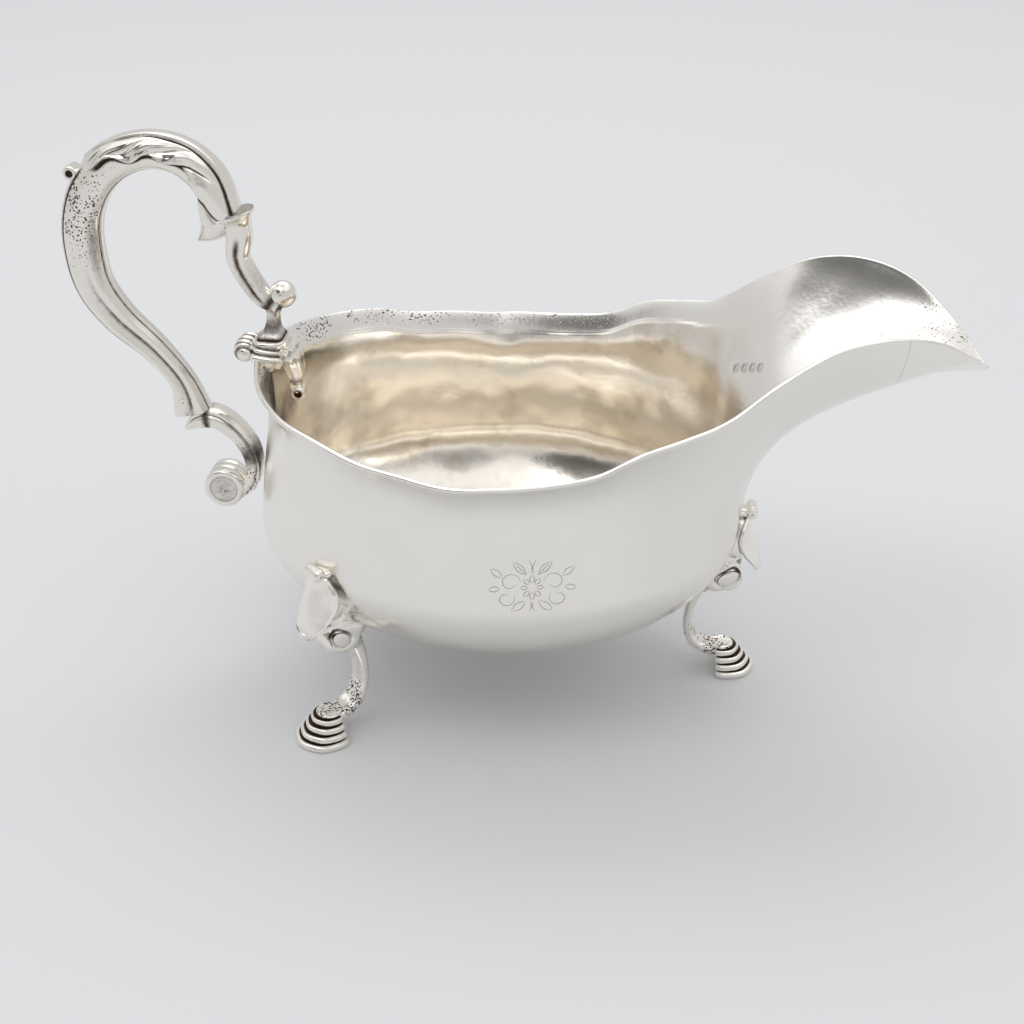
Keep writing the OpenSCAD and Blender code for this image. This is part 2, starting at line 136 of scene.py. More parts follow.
def joined(parts):
    """Several closed skins as one list of points, faces and painted values."""
    points, faces, paints, base = [], [], [], 0
    for p, f, *paint in parts:
        points.append(p)
        faces += [[k + base for k in face] for face in f]
        paints.append(paint[0] if paint else np.zeros((len(p), 2)))
        base += len(p)
    return np.concatenate(points), faces, np.concatenate(paints)


def paint(obj, name, values):
    layer = obj.data.attributes.get(name) or obj.data.attributes.new(name, "FLOAT", "POINT")
    layer.data.foreach_set("value", np.asarray(values, np.float32))


pieces = {}
SHARP_ANGLE = 50


def piece(name, points, faces, paints, material=None):
    """A finished mesh in metres, smooth shaded, with its painted values; handle silver unless told otherwise."""
    mesh = bpy.data.meshes.new(name)
    mesh.from_pydata((np.asarray(points) * MM).tolist(), [], faces)
    mesh.validate()
    bm = bmesh.new()
    bm.from_mesh(mesh)
    bmesh.ops.recalc_face_normals(bm, faces=bm.faces)
    bm.to_mesh(mesh)
    bm.free()
    obj = bpy.data.objects.new(name, mesh)
    bpy.context.scene.collection.objects.link(obj)
    mesh.polygons.foreach_set("use_smooth", np.ones(len(mesh.polygons), bool))
    mesh.set_sharp_from_angle(angle=math.radians(SHARP_ANGLE))
    mesh.materials.append(material or cast_silver)
    # This value is tarnish, and in the knee's eye grooves and the hoof's steps painted shade too.
    paint(obj, "tarnish_and_shade", np.clip(paints[:, 0], 0, 1))
    paint(obj, "pits", np.clip(paints[:, 1], 0, 1))
    pieces[name] = obj
    print(f"{name}: {len(mesh.vertices)} vertices")


def with_paint(rings, tarnish_and_shade=None, pits=None):
    """A skin with painted values given for each ring point; the two end points take their ring's mean."""
    points, faces = skin(rings)
    cols = []
    for v in (tarnish_and_shade, pits):
        g = np.zeros(rings.shape[:2]) if v is None else np.broadcast_to(v, rings.shape[:2])
        cols.append(np.concatenate([g.ravel(), [g[0].mean(), g[-1].mean()]]))
    return points, faces, np.stack(cols, 1)


print("a plain oval bar has", len(with_paint(across([[0, 0], [9, 0]], [0, 1], ovals([2, 2], 3)))[1]), "faces")

# %% [markdown]
# Old silver is never one plain mirror. Polishing leaves a haze of fine crossed scratches, hands and sulphur leave warm
# smudges, and hollows stay nearly black. An image could hold all that, but a pattern made of nodes stays sharp at any
# distance. Four shader groups make it, and every silver here uses them with its own values. The groups only give masks
# and heights; the metal itself stays in each material.
# %% Shader helpers
def new_group(name, inputs, outputs):
    group = bpy.data.node_groups.new(name, "ShaderNodeTree")
    for label, kind, value in inputs:
        socket = group.interface.new_socket(name=label, in_out="INPUT", socket_type=kind)
        if value is not None:
            socket.default_value = value
    for label, kind in outputs:
        group.interface.new_socket(name=label, in_out="OUTPUT", socket_type=kind)
    return group, group.nodes.new("NodeGroupInput"), group.nodes.new("NodeGroupOutput")


def node(tree, kind, links=None, **settings):
    """A node whose settings are attributes, and whose links fill inputs by name or number with a socket or a value."""
    n = tree.nodes.new(kind)
    for key, value in settings.items():
        setattr(n, key, value)
    for key, value in (links or {}).items():
        if isinstance(value, bpy.types.NodeSocket):
            tree.links.new(value, n.inputs[key])
        else:
            n.inputs[key].default_value = value
    return n


def calc(tree, operation, a, b=0.0, c=0.0):
    return node(tree, "ShaderNodeMath", {0: a, 1: b, 2: c}, operation=operation).outputs[0]


def remap(tree, value, low, high, to_low=0.0, to_high=1.0):
    return node(tree, "ShaderNodeMapRange", {0: value, 1: low, 2: high, 3: to_low, 4: to_high},
                interpolation_type="SMOOTHSTEP").outputs[0]


def noise(tree, vector, scale, detail=3.0, rough=0.5):
    return node(tree, "ShaderNodeTexNoise",
                {"Vector": vector, "Scale": scale, "Detail": detail, "Roughness": rough}).outputs[0]


FLOAT, VECTOR = "NodeSocketFloat", "NodeSocketVector"
print("shader helpers ready")


# %% [markdown]
# Scratches: noise that is stretched along one direction reads as brushed lines. Three directions crossed look like
# years of rubbing with a cloth. Smudges are large soft noise.
# %% Polish haze group
haze, g_in, g_out = new_group("polish_haze", [("Vector", VECTOR, None), ("Scratch Scale", FLOAT, 900.0)],
                              [("Scratches", FLOAT), ("Smudges", FLOAT)])
lines = None
for turn, stretch in (((0.3, 0.2, 0.5), 0.05), ((1.1, 0.7, 2.1), 0.07), ((2.0, 1.6, 0.9), 0.06)):
    turned = node(haze, "ShaderNodeMapping", {"Vector": g_in.outputs[0], "Rotation": turn, "Scale": (1, stretch, 1)})
    one = noise(haze, turned.outputs[0], g_in.outputs["Scratch Scale"], 2.0)
    lines = one if lines is None else calc(haze, "ADD", lines, one)
haze.links.new(calc(haze, "MULTIPLY", lines, 1 / 3), g_out.inputs["Scratches"])
haze.links.new(noise(haze, g_in.outputs[0], 38.0, 4.0, 0.6), g_out.inputs["Smudges"])
print(haze.name, "has", len(haze.nodes), "nodes")

# %% [markdown]
# Tarnish and shade: the painted value says where hollows hold tarnish and where shade is painted. Noise breaks its
# edge, so the dark fades out in grains.
# %% Tarnish and painted shade group
tarnish_and_shade, g_in, g_out = new_group(
    "tarnish_and_shade", [("Vector", VECTOR, None), ("Painted", FLOAT, 0.0), ("Grain", FLOAT, 700.0)], [("Mask", FLOAT)])
grain = noise(tarnish_and_shade, g_in.outputs["Vector"], g_in.outputs["Grain"], 4.0, 0.65)
shifted = calc(tarnish_and_shade, "ADD", g_in.outputs["Painted"], calc(tarnish_and_shade, "MULTIPLY_ADD", grain, 0.5, -0.25))
inside = calc(tarnish_and_shade, "MULTIPLY", shifted, remap(tarnish_and_shade, g_in.outputs["Painted"], 0.02, 0.2))
tarnish_and_shade.links.new(remap(tarnish_and_shade, inside, 0.12, 0.95), g_out.inputs["Mask"])
print(tarnish_and_shade.name, "has", len(tarnish_and_shade.nodes), "nodes")

# %% [markdown]
# Pits: a cell pattern gives small round specks. A second noise gathers them in clusters, as porous casting has them.
# %% Pitting group
pitting, g_in, g_out = new_group(
    "pitting",
    [("Vector", VECTOR, None), ("Painted", FLOAT, 0.0), ("Scale", FLOAT, 1500.0), ("Cluster", FLOAT, 260.0)],
    [("Pits", FLOAT)])
warp = node(pitting, "ShaderNodeTexNoise", {"Vector": g_in.outputs["Vector"], "Scale": 1400.0, "Detail": 1.0})
warped = node(pitting, "ShaderNodeVectorMath", {0: warp.outputs["Color"], 1: (0.0006, 0.0006, 0.0006),
                                                2: g_in.outputs["Vector"]}, operation="MULTIPLY_ADD").outputs[0]
cells = node(pitting, "ShaderNodeTexVoronoi", {"Vector": warped, "Scale": g_in.outputs["Scale"]}).outputs["Distance"]
cluster = noise(pitting, g_in.outputs["Vector"], g_in.outputs["Cluster"], 3.0, 0.6)
reach = calc(pitting, "MULTIPLY", remap(pitting, cluster, 0.30, 0.56), g_in.outputs["Painted"])
size = calc(pitting, "MULTIPLY", reach, 0.50)
pitting.links.new(remap(pitting, calc(pitting, "SUBTRACT", size, cells), 0.0, 0.1), g_out.inputs["Pits"])
print(pitting.name, "has", len(pitting.nodes), "nodes")

# %% [markdown]
# Planishing: the raiser's last, light hammer blows leave shallow facets some millimetres wide. They can't be seen
# themselves, but they make every reflection ripple.
# %% Planishing group
planish, g_in, g_out = new_group(
    "planishing", [("Vector", VECTOR, None), ("Facet Scale", FLOAT, 110.0)], [("Height", FLOAT)])
facets = node(planish, "ShaderNodeTexVoronoi", {"Vector": g_in.outputs["Vector"], "Scale": g_in.outputs["Facet Scale"],
                                                "Smoothness": 1.0}, feature="SMOOTH_F1").outputs["Distance"]
swell = noise(planish, g_in.outputs["Vector"], 55.0, 2.0, 0.45)
planish.links.new(calc(planish, "MULTIPLY_ADD", swell, 1.6, facets), g_out.inputs["Height"])
print(planish.name, "has", len(planish.nodes), "nodes")

# %% [markdown]
# The silver itself: a metal whose colour goes from warm white to a brownish black where tarnish, painted shade and pits
# lie, rougher in all three. A gilt value, painted on the inside of the bowl only, mixes in a pale champagne, as worn
# gilding has.
# %% Silver materials
SMUDGE_TINT, STAIN_TINT = (0.965, 0.945, 0.90), (0.80, 0.76, 0.70)
SCRATCH_DEPTH = 0.00006


def tinted(colour, tint):
    return (*[c * s for c, s in zip(colour, tint)], 1)


def silver(name, bright, dark, rough, scratch, grain, pit_scale, gilt=None, hammered=0.0):
    """A silver: its two colours, its roughness, how strong scratches show, how fine tarnish and pits are."""
    material = bpy.data.materials.new(name)
    material.use_nodes = True
    tree = material.node_tree
    shader = tree.nodes["Principled BSDF"]
    shader.inputs["Metallic"].default_value = 1.0
    where = node(tree, "ShaderNodeTexCoord").outputs["Object"]
    polish = node(tree, "ShaderNodeGroup", {}, node_tree=haze)
    tree.links.new(where, polish.inputs["Vector"])
    soot_and_shade = node(tree, "ShaderNodeGroup", {}, node_tree=tarnish_and_shade)
    soot_and_shade.inputs["Grain"].default_value = grain
    pocks = node(tree, "ShaderNodeGroup", {}, node_tree=pitting)
    pocks.inputs["Scale"].default_value = pit_scale
    for group, attribute in ((soot_and_shade, "tarnish_and_shade"), (pocks, "pits")):
        tree.links.new(where, group.inputs["Vector"])
        tree.links.new(node(tree, "ShaderNodeAttribute", {}, attribute_name=attribute).outputs["Fac"],
                       group.inputs["Painted"])
    tone = node(tree, "ShaderNodeMix", {}, data_type="RGBA")
    tree.links.new(polish.outputs["Smudges"], tone.inputs[0])
    tone.inputs[6].default_value = (*bright, 1)
    tone.inputs[7].default_value = tinted(bright, SMUDGE_TINT)
    colour = tone.outputs[2]
    if gilt:
        gilded = node(tree, "ShaderNodeAttribute", {}, attribute_name="gilt").outputs["Fac"]
        gilding = node(tree, "ShaderNodeMix", {0: gilded}, data_type="RGBA")
        blotches = remap(tree, noise(tree, where, 62.0, 5.0, 0.62), 0.50, 0.72)
        stain = node(tree, "ShaderNodeMix", {0: blotches, 6: (*gilt, 1), 7: tinted(gilt, STAIN_TINT)},
                     data_type="RGBA")
        tree.links.new(colour, gilding.inputs[6])
        tree.links.new(stain.outputs[2], gilding.inputs[7])
        colour = gilding.outputs[2]
    # The darkening mask: tarnish and painted shade, together with pits.
    worn_and_shaded = calc(tree, "MAXIMUM", soot_and_shade.outputs[0], calc(tree, "MULTIPLY", pocks.outputs[0], 0.9))
    black = node(tree, "ShaderNodeMix", {0: worn_and_shaded, 7: (*dark, 1)}, data_type="RGBA")
    tree.links.new(colour, black.inputs[6])
    tree.links.new(black.outputs[2], shader.inputs["Base Color"])
    base = calc(tree, "MULTIPLY_ADD", polish.outputs["Smudges"], rough * 0.6, rough * 0.7)
    if gilt:
        base = calc(tree, "MULTIPLY_ADD", gilded, -0.055, base)
    tree.links.new(calc(tree, "MULTIPLY_ADD", worn_and_shaded, 0.4, base), shader.inputs["Roughness"])
    height = calc(tree, "SUBTRACT", calc(tree, "MULTIPLY", polish.outputs["Scratches"], scratch), pocks.outputs[0])
    lift = node(tree, "ShaderNodeBump", {"Strength": 1.0, "Distance": SCRATCH_DEPTH, "Height": height})
    if hammered:
        blows = node(tree, "ShaderNodeGroup", {}, node_tree=planish)
        tree.links.new(where, blows.inputs["Vector"])
        depth = calc(tree, "MULTIPLY", blows.outputs[0], calc(tree, "MULTIPLY_ADD", gilded, 0.72, 0.28))
        dent = node(tree, "ShaderNodeBump", {"Strength": 1.0, "Distance": hammered, "Height": depth})
        tree.links.new(dent.outputs[0], lift.inputs["Normal"])
    tree.links.new(lift.outputs[0], shader.inputs["Normal"])
    return material


DARK = (0.060, 0.036, 0.024)
sheet_silver = silver("raised_sheet_silver", (0.93, 0.915, 0.89), (0.09, 0.07, 0.055), 0.24, 0.60, 500.0, 1500.0,
                      gilt=(0.85, 0.80, 0.72), hammered=0.00036)
cast_silver = silver("cast_handle_silver", (0.90, 0.875, 0.83), DARK, 0.17, 0.25, 900.0, 1500.0)
foot_silver = silver("cast_foot_silver", (0.95, 0.93, 0.895), DARK, 0.20, 0.25, 900.0, 1600.0)
line_tarnish = silver("engraved_line_tarnish", (0.30, 0.285, 0.26), DARK, 0.45, 0.2, 900.0, 1500.0)
print("materials:", [m.name for m in bpy.data.materials])

# %% [markdown]
# The bowl is a sheet 1.1 mm thick, raised with hammers. Its rim is a wavy line drawn by a short table: how far along
# the bowl, how far to the side, and how high. Below the rim the wall turns in to a neck, swells to the belly, and
# closes in a rounded bottom. The rules are those of the CAD model, on a grid fine enough to mirror smoothly.
# %% Sizes of the bowl
LIP_REACH, BACK_REACH, RIM_W, RIM_H, LIP_RISE = 107.5, 57.5, 97.5, 72.5, 26
BELLY_W, BELLY_H, BOWL_GAP, SHEET_T, LIP_SEAM = 93.4, 42, 13, 1.1, 22
HANDLE_REACH, HANDLE_RISE = 41, 51
BELLY_FRONT, BELLY_BACK, FULLNESS, FLARE, NECK_IN = 56, 57.5, 1.85, 10, 1.2
BOWL_X = (BACK_REACH + HANDLE_REACH - LIP_REACH) / 2
RIM_BACK_X = BOWL_X - BACK_REACH
RIM = [
    [1.000, 0.000, 0.37], [0.945, 0.22, 0.63], [0.860, 0.40, 0.90], [0.760, 0.51, 1.00], [0.655, 0.585, 0.93],
    [0.560, 0.64, 0.70], [0.465, 0.71, 0.42], [0.385, 0.80, 0.33], [0.300, 0.88, 0.25], [0.215, 0.92, 0.09],
    [0.115, 0.965, 0.03], [0.000, 0.995, 0.01], [-0.140, 0.985, 0.00], [-0.310, 0.935, 0.04],
    [-0.470, 0.865, 0.07], [-0.630, 0.775, 0.16], [-0.800, 0.61, 0.21], [-0.925, 0.36, 0.27], [-1.000, 0.000, 0.31],
]
print(f"bowl: middle at x {BOWL_X:.1f} mm, back of the rim at x {RIM_BACK_X:.1f} mm")

# %% [markdown]
# The real sheet is hammered from a flat disc, and every horizontal slice of it is a smooth oval. It could be modelled
# by pulling a sphere about, but then the rim would never fit the handle. Here each point of the wall comes from a rule:
# u runs round the rim, and v runs down a curve with four handles from the rim to the belly.
# %% The bowl's surface
def rim_points(u):
    """The wavy line of the rim, from the lip's point at u = 0 to the handle at u = 1."""
    p = curve(RIM, u)
    x = BOWL_X + p[:, 0] * np.where(p[:, 0] > 0, LIP_REACH, BACK_REACH)
    return np.stack([x, np.maximum(p[:, 1], 0) * RIM_W / 2, RIM_H + p[:, 2] * LIP_RISE], 1)


def belly_points(u):
    """The bowl's widest line, under each point of the rim."""
    r = rim_points(u)
    long = np.where(r[:, 0] > BOWL_X, BELLY_FRONT, BELLY_BACK)
    a = np.arctan2(r[:, 1] / (BELLY_W / 2), (r[:, 0] - BOWL_X) / long)
    return np.stack([BOWL_X + long * np.cos(a), BELLY_W / 2 * np.sin(a), np.full(len(a), float(BELLY_H))], 1)


def wall_points(u, v):
    """The wall from the rim at v = 0 to the belly at v = 1."""
    r, b = rim_points(u), belly_points(u)
    level = np.array([1.0, 1.0, 0.0])
    out = unit(np.stack([b[:, 0] - BOWL_X, b[:, 1] * (BELLY_FRONT / (BELLY_W / 2)) ** 2, 0 * u], 1))
    span = np.linalg.norm((r - b) * level, axis=1)[:, None]
    lip = smooth((span - 6) / 40)
    go = unit(out * (1 - lip) + (r - b) * level / np.maximum(span, 1) * lip)
    steep = 2 + 60 * smooth(r[:, 1:2] / (RIM_W / 2) / 0.5)
    climb = np.radians(55 * (1 - lip) + steep * lip)
    pull = FLARE * (1 - lip) + (0.42 * span + 4) * lip
    rise = (r[:, 2:] - b[:, 2:]) * (0.5 * (1 - lip) + 0.72 * lip)
    up = np.array([0, 0, 1.0])
    c1 = r - pull * (go * np.cos(climb) + up * np.sin(climb))
    c2 = b + up * rise - out * NECK_IN * (1 - lip)
    s = 1 - v
    return s**3 * r + 3 * s * s * v * c1 + 3 * s * v * v * c2 + v**3 * b


def base_points(u, v):
    """The bottom from the belly at v = 0 to its lowest point at v = 1."""
    b, k = belly_points(u), 2 / FULLNESS
    inward, down = math.cos(v * math.pi / 2) ** k, math.sin(v * math.pi / 2) ** k
    return np.stack([BOWL_X + (b[:, 0] - BOWL_X) * inward, b[:, 1] * inward,
                     BELLY_H - (BELLY_H - BOWL_GAP) * down + 0 * u], 1)


SIDE, WALL, BASE = 168, 44, 28
u_side = np.linspace(0, 1, SIDE + 1)
half = np.stack([wall_points(u_side, j / WALL) for j in range(WALL)]
                + [base_points(u_side, j / BASE) for j in range(BASE)])
half[:, [0, -1], 1] = 0
outer = np.concatenate([half, half[:, -2:0:-1] * np.array([1, -1, 1.0])], 1)
lowest = np.array([BOWL_X, 0, float(BOWL_GAP)])
rows, around = outer.shape[:2]
along = np.roll(outer, -1, 1) - np.roll(outer, 1, 1)
upward = np.concatenate([outer[:1], outer[:-1]]) - np.concatenate([outer[1:], np.broadcast_to(lowest, (1, around, 3))])
normal = unit(np.cross(along, upward))
print(f"bowl grid: {rows} rows of {around}, rim from x {outer[0, :, 0].min():.1f} to {outer[0, :, 0].max():.1f} mm")

# %% [markdown]
# The inner wall is the outer one moved in along its normals. At the lip's point the two sides meet in a keel, so inner
# points are kept on their own side of it. The rim's edge is filed to a half round: five rows lead over the edge. The
# inside is gilt up to the neck, and the gilding stops where the lip's trough begins.
# %% Inner wall, rounded edge and gilding
inner = outer - SHEET_T * normal
side_sign = np.sign(outer[..., 1])
inner[..., 1] = np.where(side_sign * inner[..., 1] < 0, 0.0, inner[..., 1])
EDGE = 0.42
rim_up = unit(outer[0] - outer[2])
arc = []
EDGE_ANGLES = np.radians([18, 54, 90, 126, 162])
for angle in EDGE_ANGLES:
    middle, reach = (outer[0] + inner[0]) / 2, (outer[0] - inner[0]) / 2
    arc.append(middle + reach * math.cos(angle) + rim_up * EDGE * (math.sin(angle) - 1))
outer[0] -= rim_up * EDGE
inner[0] -= rim_up * EDGE
shell_rows = np.concatenate([outer[::-1], np.stack(arc), inner])
shell_points, shell_faces = skin(shell_rows)
shell_points[-2], shell_points[-1] = lowest, lowest + [0, 0, SHEET_T]
GILT_TOP_ROW, GILT_FRONT, GILT_ROUND_ROWS, GILT_ROUND, GILT_SOFT = 7.2, 48, 9, 14, 5
gilt = np.zeros(shell_rows.shape[:2])
below = np.clip((np.arange(rows)[:, None] - GILT_TOP_ROW) / GILT_ROUND_ROWS, 0, 1)
before = np.clip((GILT_FRONT - inner[..., 0]) / GILT_ROUND, 0, 1)
first_inner = rows + len(EDGE_ANGLES)
gilt[first_inner:] = smooth(GILT_SOFT * (1 - np.hypot(1 - below, 1 - before)))
gilt = np.concatenate([gilt.ravel(), [0, 1]])
print(f"shell: {len(shell_points)} points, {np.mean(gilt > 0.5):.0%} gilt")

# %% [markdown]
# The sheet was too short for the lip's point, so a small piece was let in and soldered. The shell is cut at that seam
# in two closed pieces, a hair apart, which shows as a fine line. Pits gather where casting heat and wear reached the
# sheet: along the far rim, beside the plinth, at the lip's point and over the feet.
# %% Bowl and let-in lip
SEAM_X = BOWL_X + LIP_REACH - LIP_SEAM
SEAM_GAP, SHEET_SHARP_ANGLE = 0.025, 60
row_of = np.arange(len(shell_rows))
is_inner = np.concatenate([np.repeat(row_of >= first_inner, around), [False, True]])
near_rim = np.concatenate([np.repeat(np.minimum(np.abs(row_of - rows - 2), 40), around), [40, 40]])
far_rim = bump(shell_points[:, 1], 40, 16) * bump(near_rim, 5, 5) * (shell_points[:, 0] < 20)
plinth_side = bump(shell_points[:, 0], RIM_BACK_X + 2, 12) * bump(near_rim, 8, 9)
lip_point = is_inner * smooth((shell_points[:, 0] - 84) / 8)
foot_marks = bump(shell_points[:, 2], 26, 8) * ~is_inner * smooth((-shell_points[:, 0] + 2) / 20)
sheet_pits = np.clip(0.8 * far_rim + plinth_side + 0.6 * lip_point + 0.6 * foot_marks, 0, 0.9)


def cut_shell(name, x, keep_front):
    """The part of the shell on one side of a plane across the boat, closed at the cut."""
    mesh = bpy.data.meshes.new(name)
    mesh.from_pydata((shell_points * MM).tolist(), [], shell_faces)
    for label, values in (("gilt", gilt), ("tarnish_and_shade", 0 * gilt), ("pits", sheet_pits)):
        mesh.attributes.new(label, "FLOAT", "POINT").data.foreach_set("value", values.astype(np.float32))
    bm = bmesh.new()
    bm.from_mesh(mesh)
    bmesh.ops.remove_doubles(bm, verts=bm.verts, dist=1e-7)
    bmesh.ops.recalc_face_normals(bm, faces=bm.faces)
    geom = bm.verts[:] + bm.edges[:] + bm.faces[:]
    bmesh.ops.bisect_plane(bm, geom=geom, plane_co=(x * MM, 0, 0), plane_no=(1, 0, 0), dist=1e-7,
                           clear_inner=keep_front, clear_outer=not keep_front)
    cut_edges = [e for e in bm.edges if e.is_boundary]
    bmesh.ops.triangulate(bm, faces=bmesh.ops.holes_fill(bm, edges=cut_edges, sides=0)["faces"])
    bm.to_mesh(mesh)
    bm.free()
    obj = bpy.data.objects.new(name, mesh)
    bpy.context.scene.collection.objects.link(obj)
    mesh.polygons.foreach_set("use_smooth", np.ones(len(mesh.polygons), bool))
    mesh.set_sharp_from_angle(angle=math.radians(SHEET_SHARP_ANGLE))
    mesh.materials.append(sheet_silver)
    pieces[name] = obj
    open_edges = 2 * len(mesh.edges) - sum(len(p.vertices) for p in mesh.polygons)
    print(f"{name}: {len(mesh.vertices)} vertices, {open_edges} open edges")


cut_shell("raised_bowl", SEAM_X - SEAM_GAP, False)
cut_shell("let_in_lip", SEAM_X + SEAM_GAP, True)
bowl_tree = BVHTree.FromPolygons(shell_points.tolist(), shell_faces)

# %% [markdown]
# The flying scroll is cast in two halves, soldered along the middle. Its section is a squarish oval, and each side has
# a flute between two ribs that is deep near the foot and fades at the bend, and fine lines near both edges. The flutes
# are cut by pulling the section's points towards the path.
# %% Main scroll halves
RIM_BACK = np.array([BOWL_X - BACK_REACH, RIM_H + RIM[-1][2] * LIP_RISE])
SCROLL_DEPTH, SCROLL_W, LEAF_T = 9.4, 8.0, 0.9
SCROLL_RUN = HANDLE_REACH - SCROLL_DEPTH / 2
SCROLL_LIFT = HANDLE_RISE - SCROLL_DEPTH / 2 - LEAF_T / 2
SCROLL_FOOT = (-15.6, -15.6)
SCROLL_SHAPE = np.array([
    [0.480, -0.175], [0.633, -0.003], [0.838, 0.160], [0.962, 0.322], [1.000, 0.500],
    [0.983, 0.675], [0.900, 0.830], [0.745, 0.945], [0.540, 1.000], [0.340, 0.973], [0.188, 0.868], [0.108, 0.690],
])
scroll_path = RIM_BACK + np.concatenate([[SCROLL_FOOT], SCROLL_SHAPE * [-SCROLL_RUN, SCROLL_LIFT]])
LEAF_START, LEAF_WAVES, LOBE_SWEEP = 0.615, 4.5, 1.9


def leaf_spread(t):
    """How far round the scroll the leaf reaches, in degrees from its back."""
    wave = 8 * np.sin(2 * math.pi * LEAF_WAVES * t) * (1 - t)
    return 62 + 30 * smooth(t / 0.3) + 48 * smooth((t - 0.62) / 0.38) + wave


scroll_depths = SCROLL_DEPTH * np.array([1.00, 0.70, 0.73, 0.89, 0.97, 1.00, 0.98, 0.95, 0.86, 0.80, 0.82, 0.84, 0.78])
scroll_widths = SCROLL_W * np.array([0.86, 0.74, 0.78, 0.88, 0.98, 1.00, 1.00, 0.97, 0.92, 0.90, 0.92, 0.94, 0.90])


def half_size(lengths, u):
    return curve(lengths, u)[:, 0] / 2


def flutes(turn, u):
    """Depth cut into the scroll at each turn (90 outer edge, 0 side, -90 inner edge), and how dark it is."""
    fade = smooth((0.50 - u) / 0.30)[:, None] * smooth((u + 0.02) / 0.06)[:, None]
    late = smooth((u - 0.10) / 0.12)[:, None] * smooth((0.64 - u) / 0.06)[:, None]
    main = 0.95 * bump(turn, -4, 15) * fade
    ribs = -0.22 * (bump(turn, 24, 10) + bump(turn, -32, 10)) * fade
    outer_line = 0.40 * bump(turn, 52, 7) * late
    inner_line = 0.22 * bump(turn, -66, 5) * smooth((u - 0.06) / 0.1)[:, None]
    dark = 0.75 * bump(turn, -6, 9) * fade + 1.2 * bump(turn, 52, 7) * late + 0.75 * bump(turn, -66, 6)
    return main + ribs + outer_line + inner_line, dark


HALF_GAP = 0.06


def scroll_half(name, side, steps=220, count=72):
    """One half casting, on the side -1 or 1 of the boat's middle plane."""
    u = np.linspace(0, 1, steps)
    turn = np.linspace(90, -90, count)[None] + 0 * u[:, None]
    a, b = half_size(scroll_depths, u)[:, None], half_size(scroll_widths, u)[:, None]
    x, y = a * spow(np.sin(np.radians(turn)), SQUARE), b * spow(np.cos(np.radians(turn)), SQUARE)
    cut, dark = flutes(turn, u)
    size = np.hypot(x, y)
    x, y = x * (1 - cut / size), np.maximum(y * (1 - cut / size), HALF_GAP)
    flat_x = np.linspace(-1, 1, 10)[None, 1:-1] * x[:, :1] * 0.98
    ring = np.concatenate([np.stack([x, side * y], -1), np.stack([flat_x, 0 * flat_x + side * HALF_GAP], -1)], 1)
    grime = np.concatenate([dark, 0.5 + 0 * flat_x], 1)
    sides = smooth((np.cos(np.radians(turn)) - 0.25) / 0.4)
    rough_cast = 0.95 * bump(u, 0.53, 0.15) + 0.45 * bump(u, 0.05, 0.06)
    porous = np.concatenate([sides * rough_cast[:, None], 0 * flat_x], 1)
    leaf_t = np.clip((u - LEAF_START) / (1 - LEAF_START), 0, 1)[:, None]
    under_leaf = smooth((u - LEAF_START) / 0.03) * smooth((0.9 - u) / 0.06)
    leaf_edge = bump(turn, 90 - leaf_spread(leaf_t) - 4, 7) * under_leaf[:, None]
    brown = 0.55 * bump(turn, -36, 20) * bump(u, 0.44, 0.14)[:, None]
    grime[:, :count] = np.clip(np.maximum(grime[:, :count], np.maximum(1.1 * leaf_edge, brown)), 0, 1)
    piece(name, *with_paint(across(scroll_path, u, ring), grime, porous))


scroll_half("scroll_near_half", -1)
scroll_half("scroll_far_half", 1)

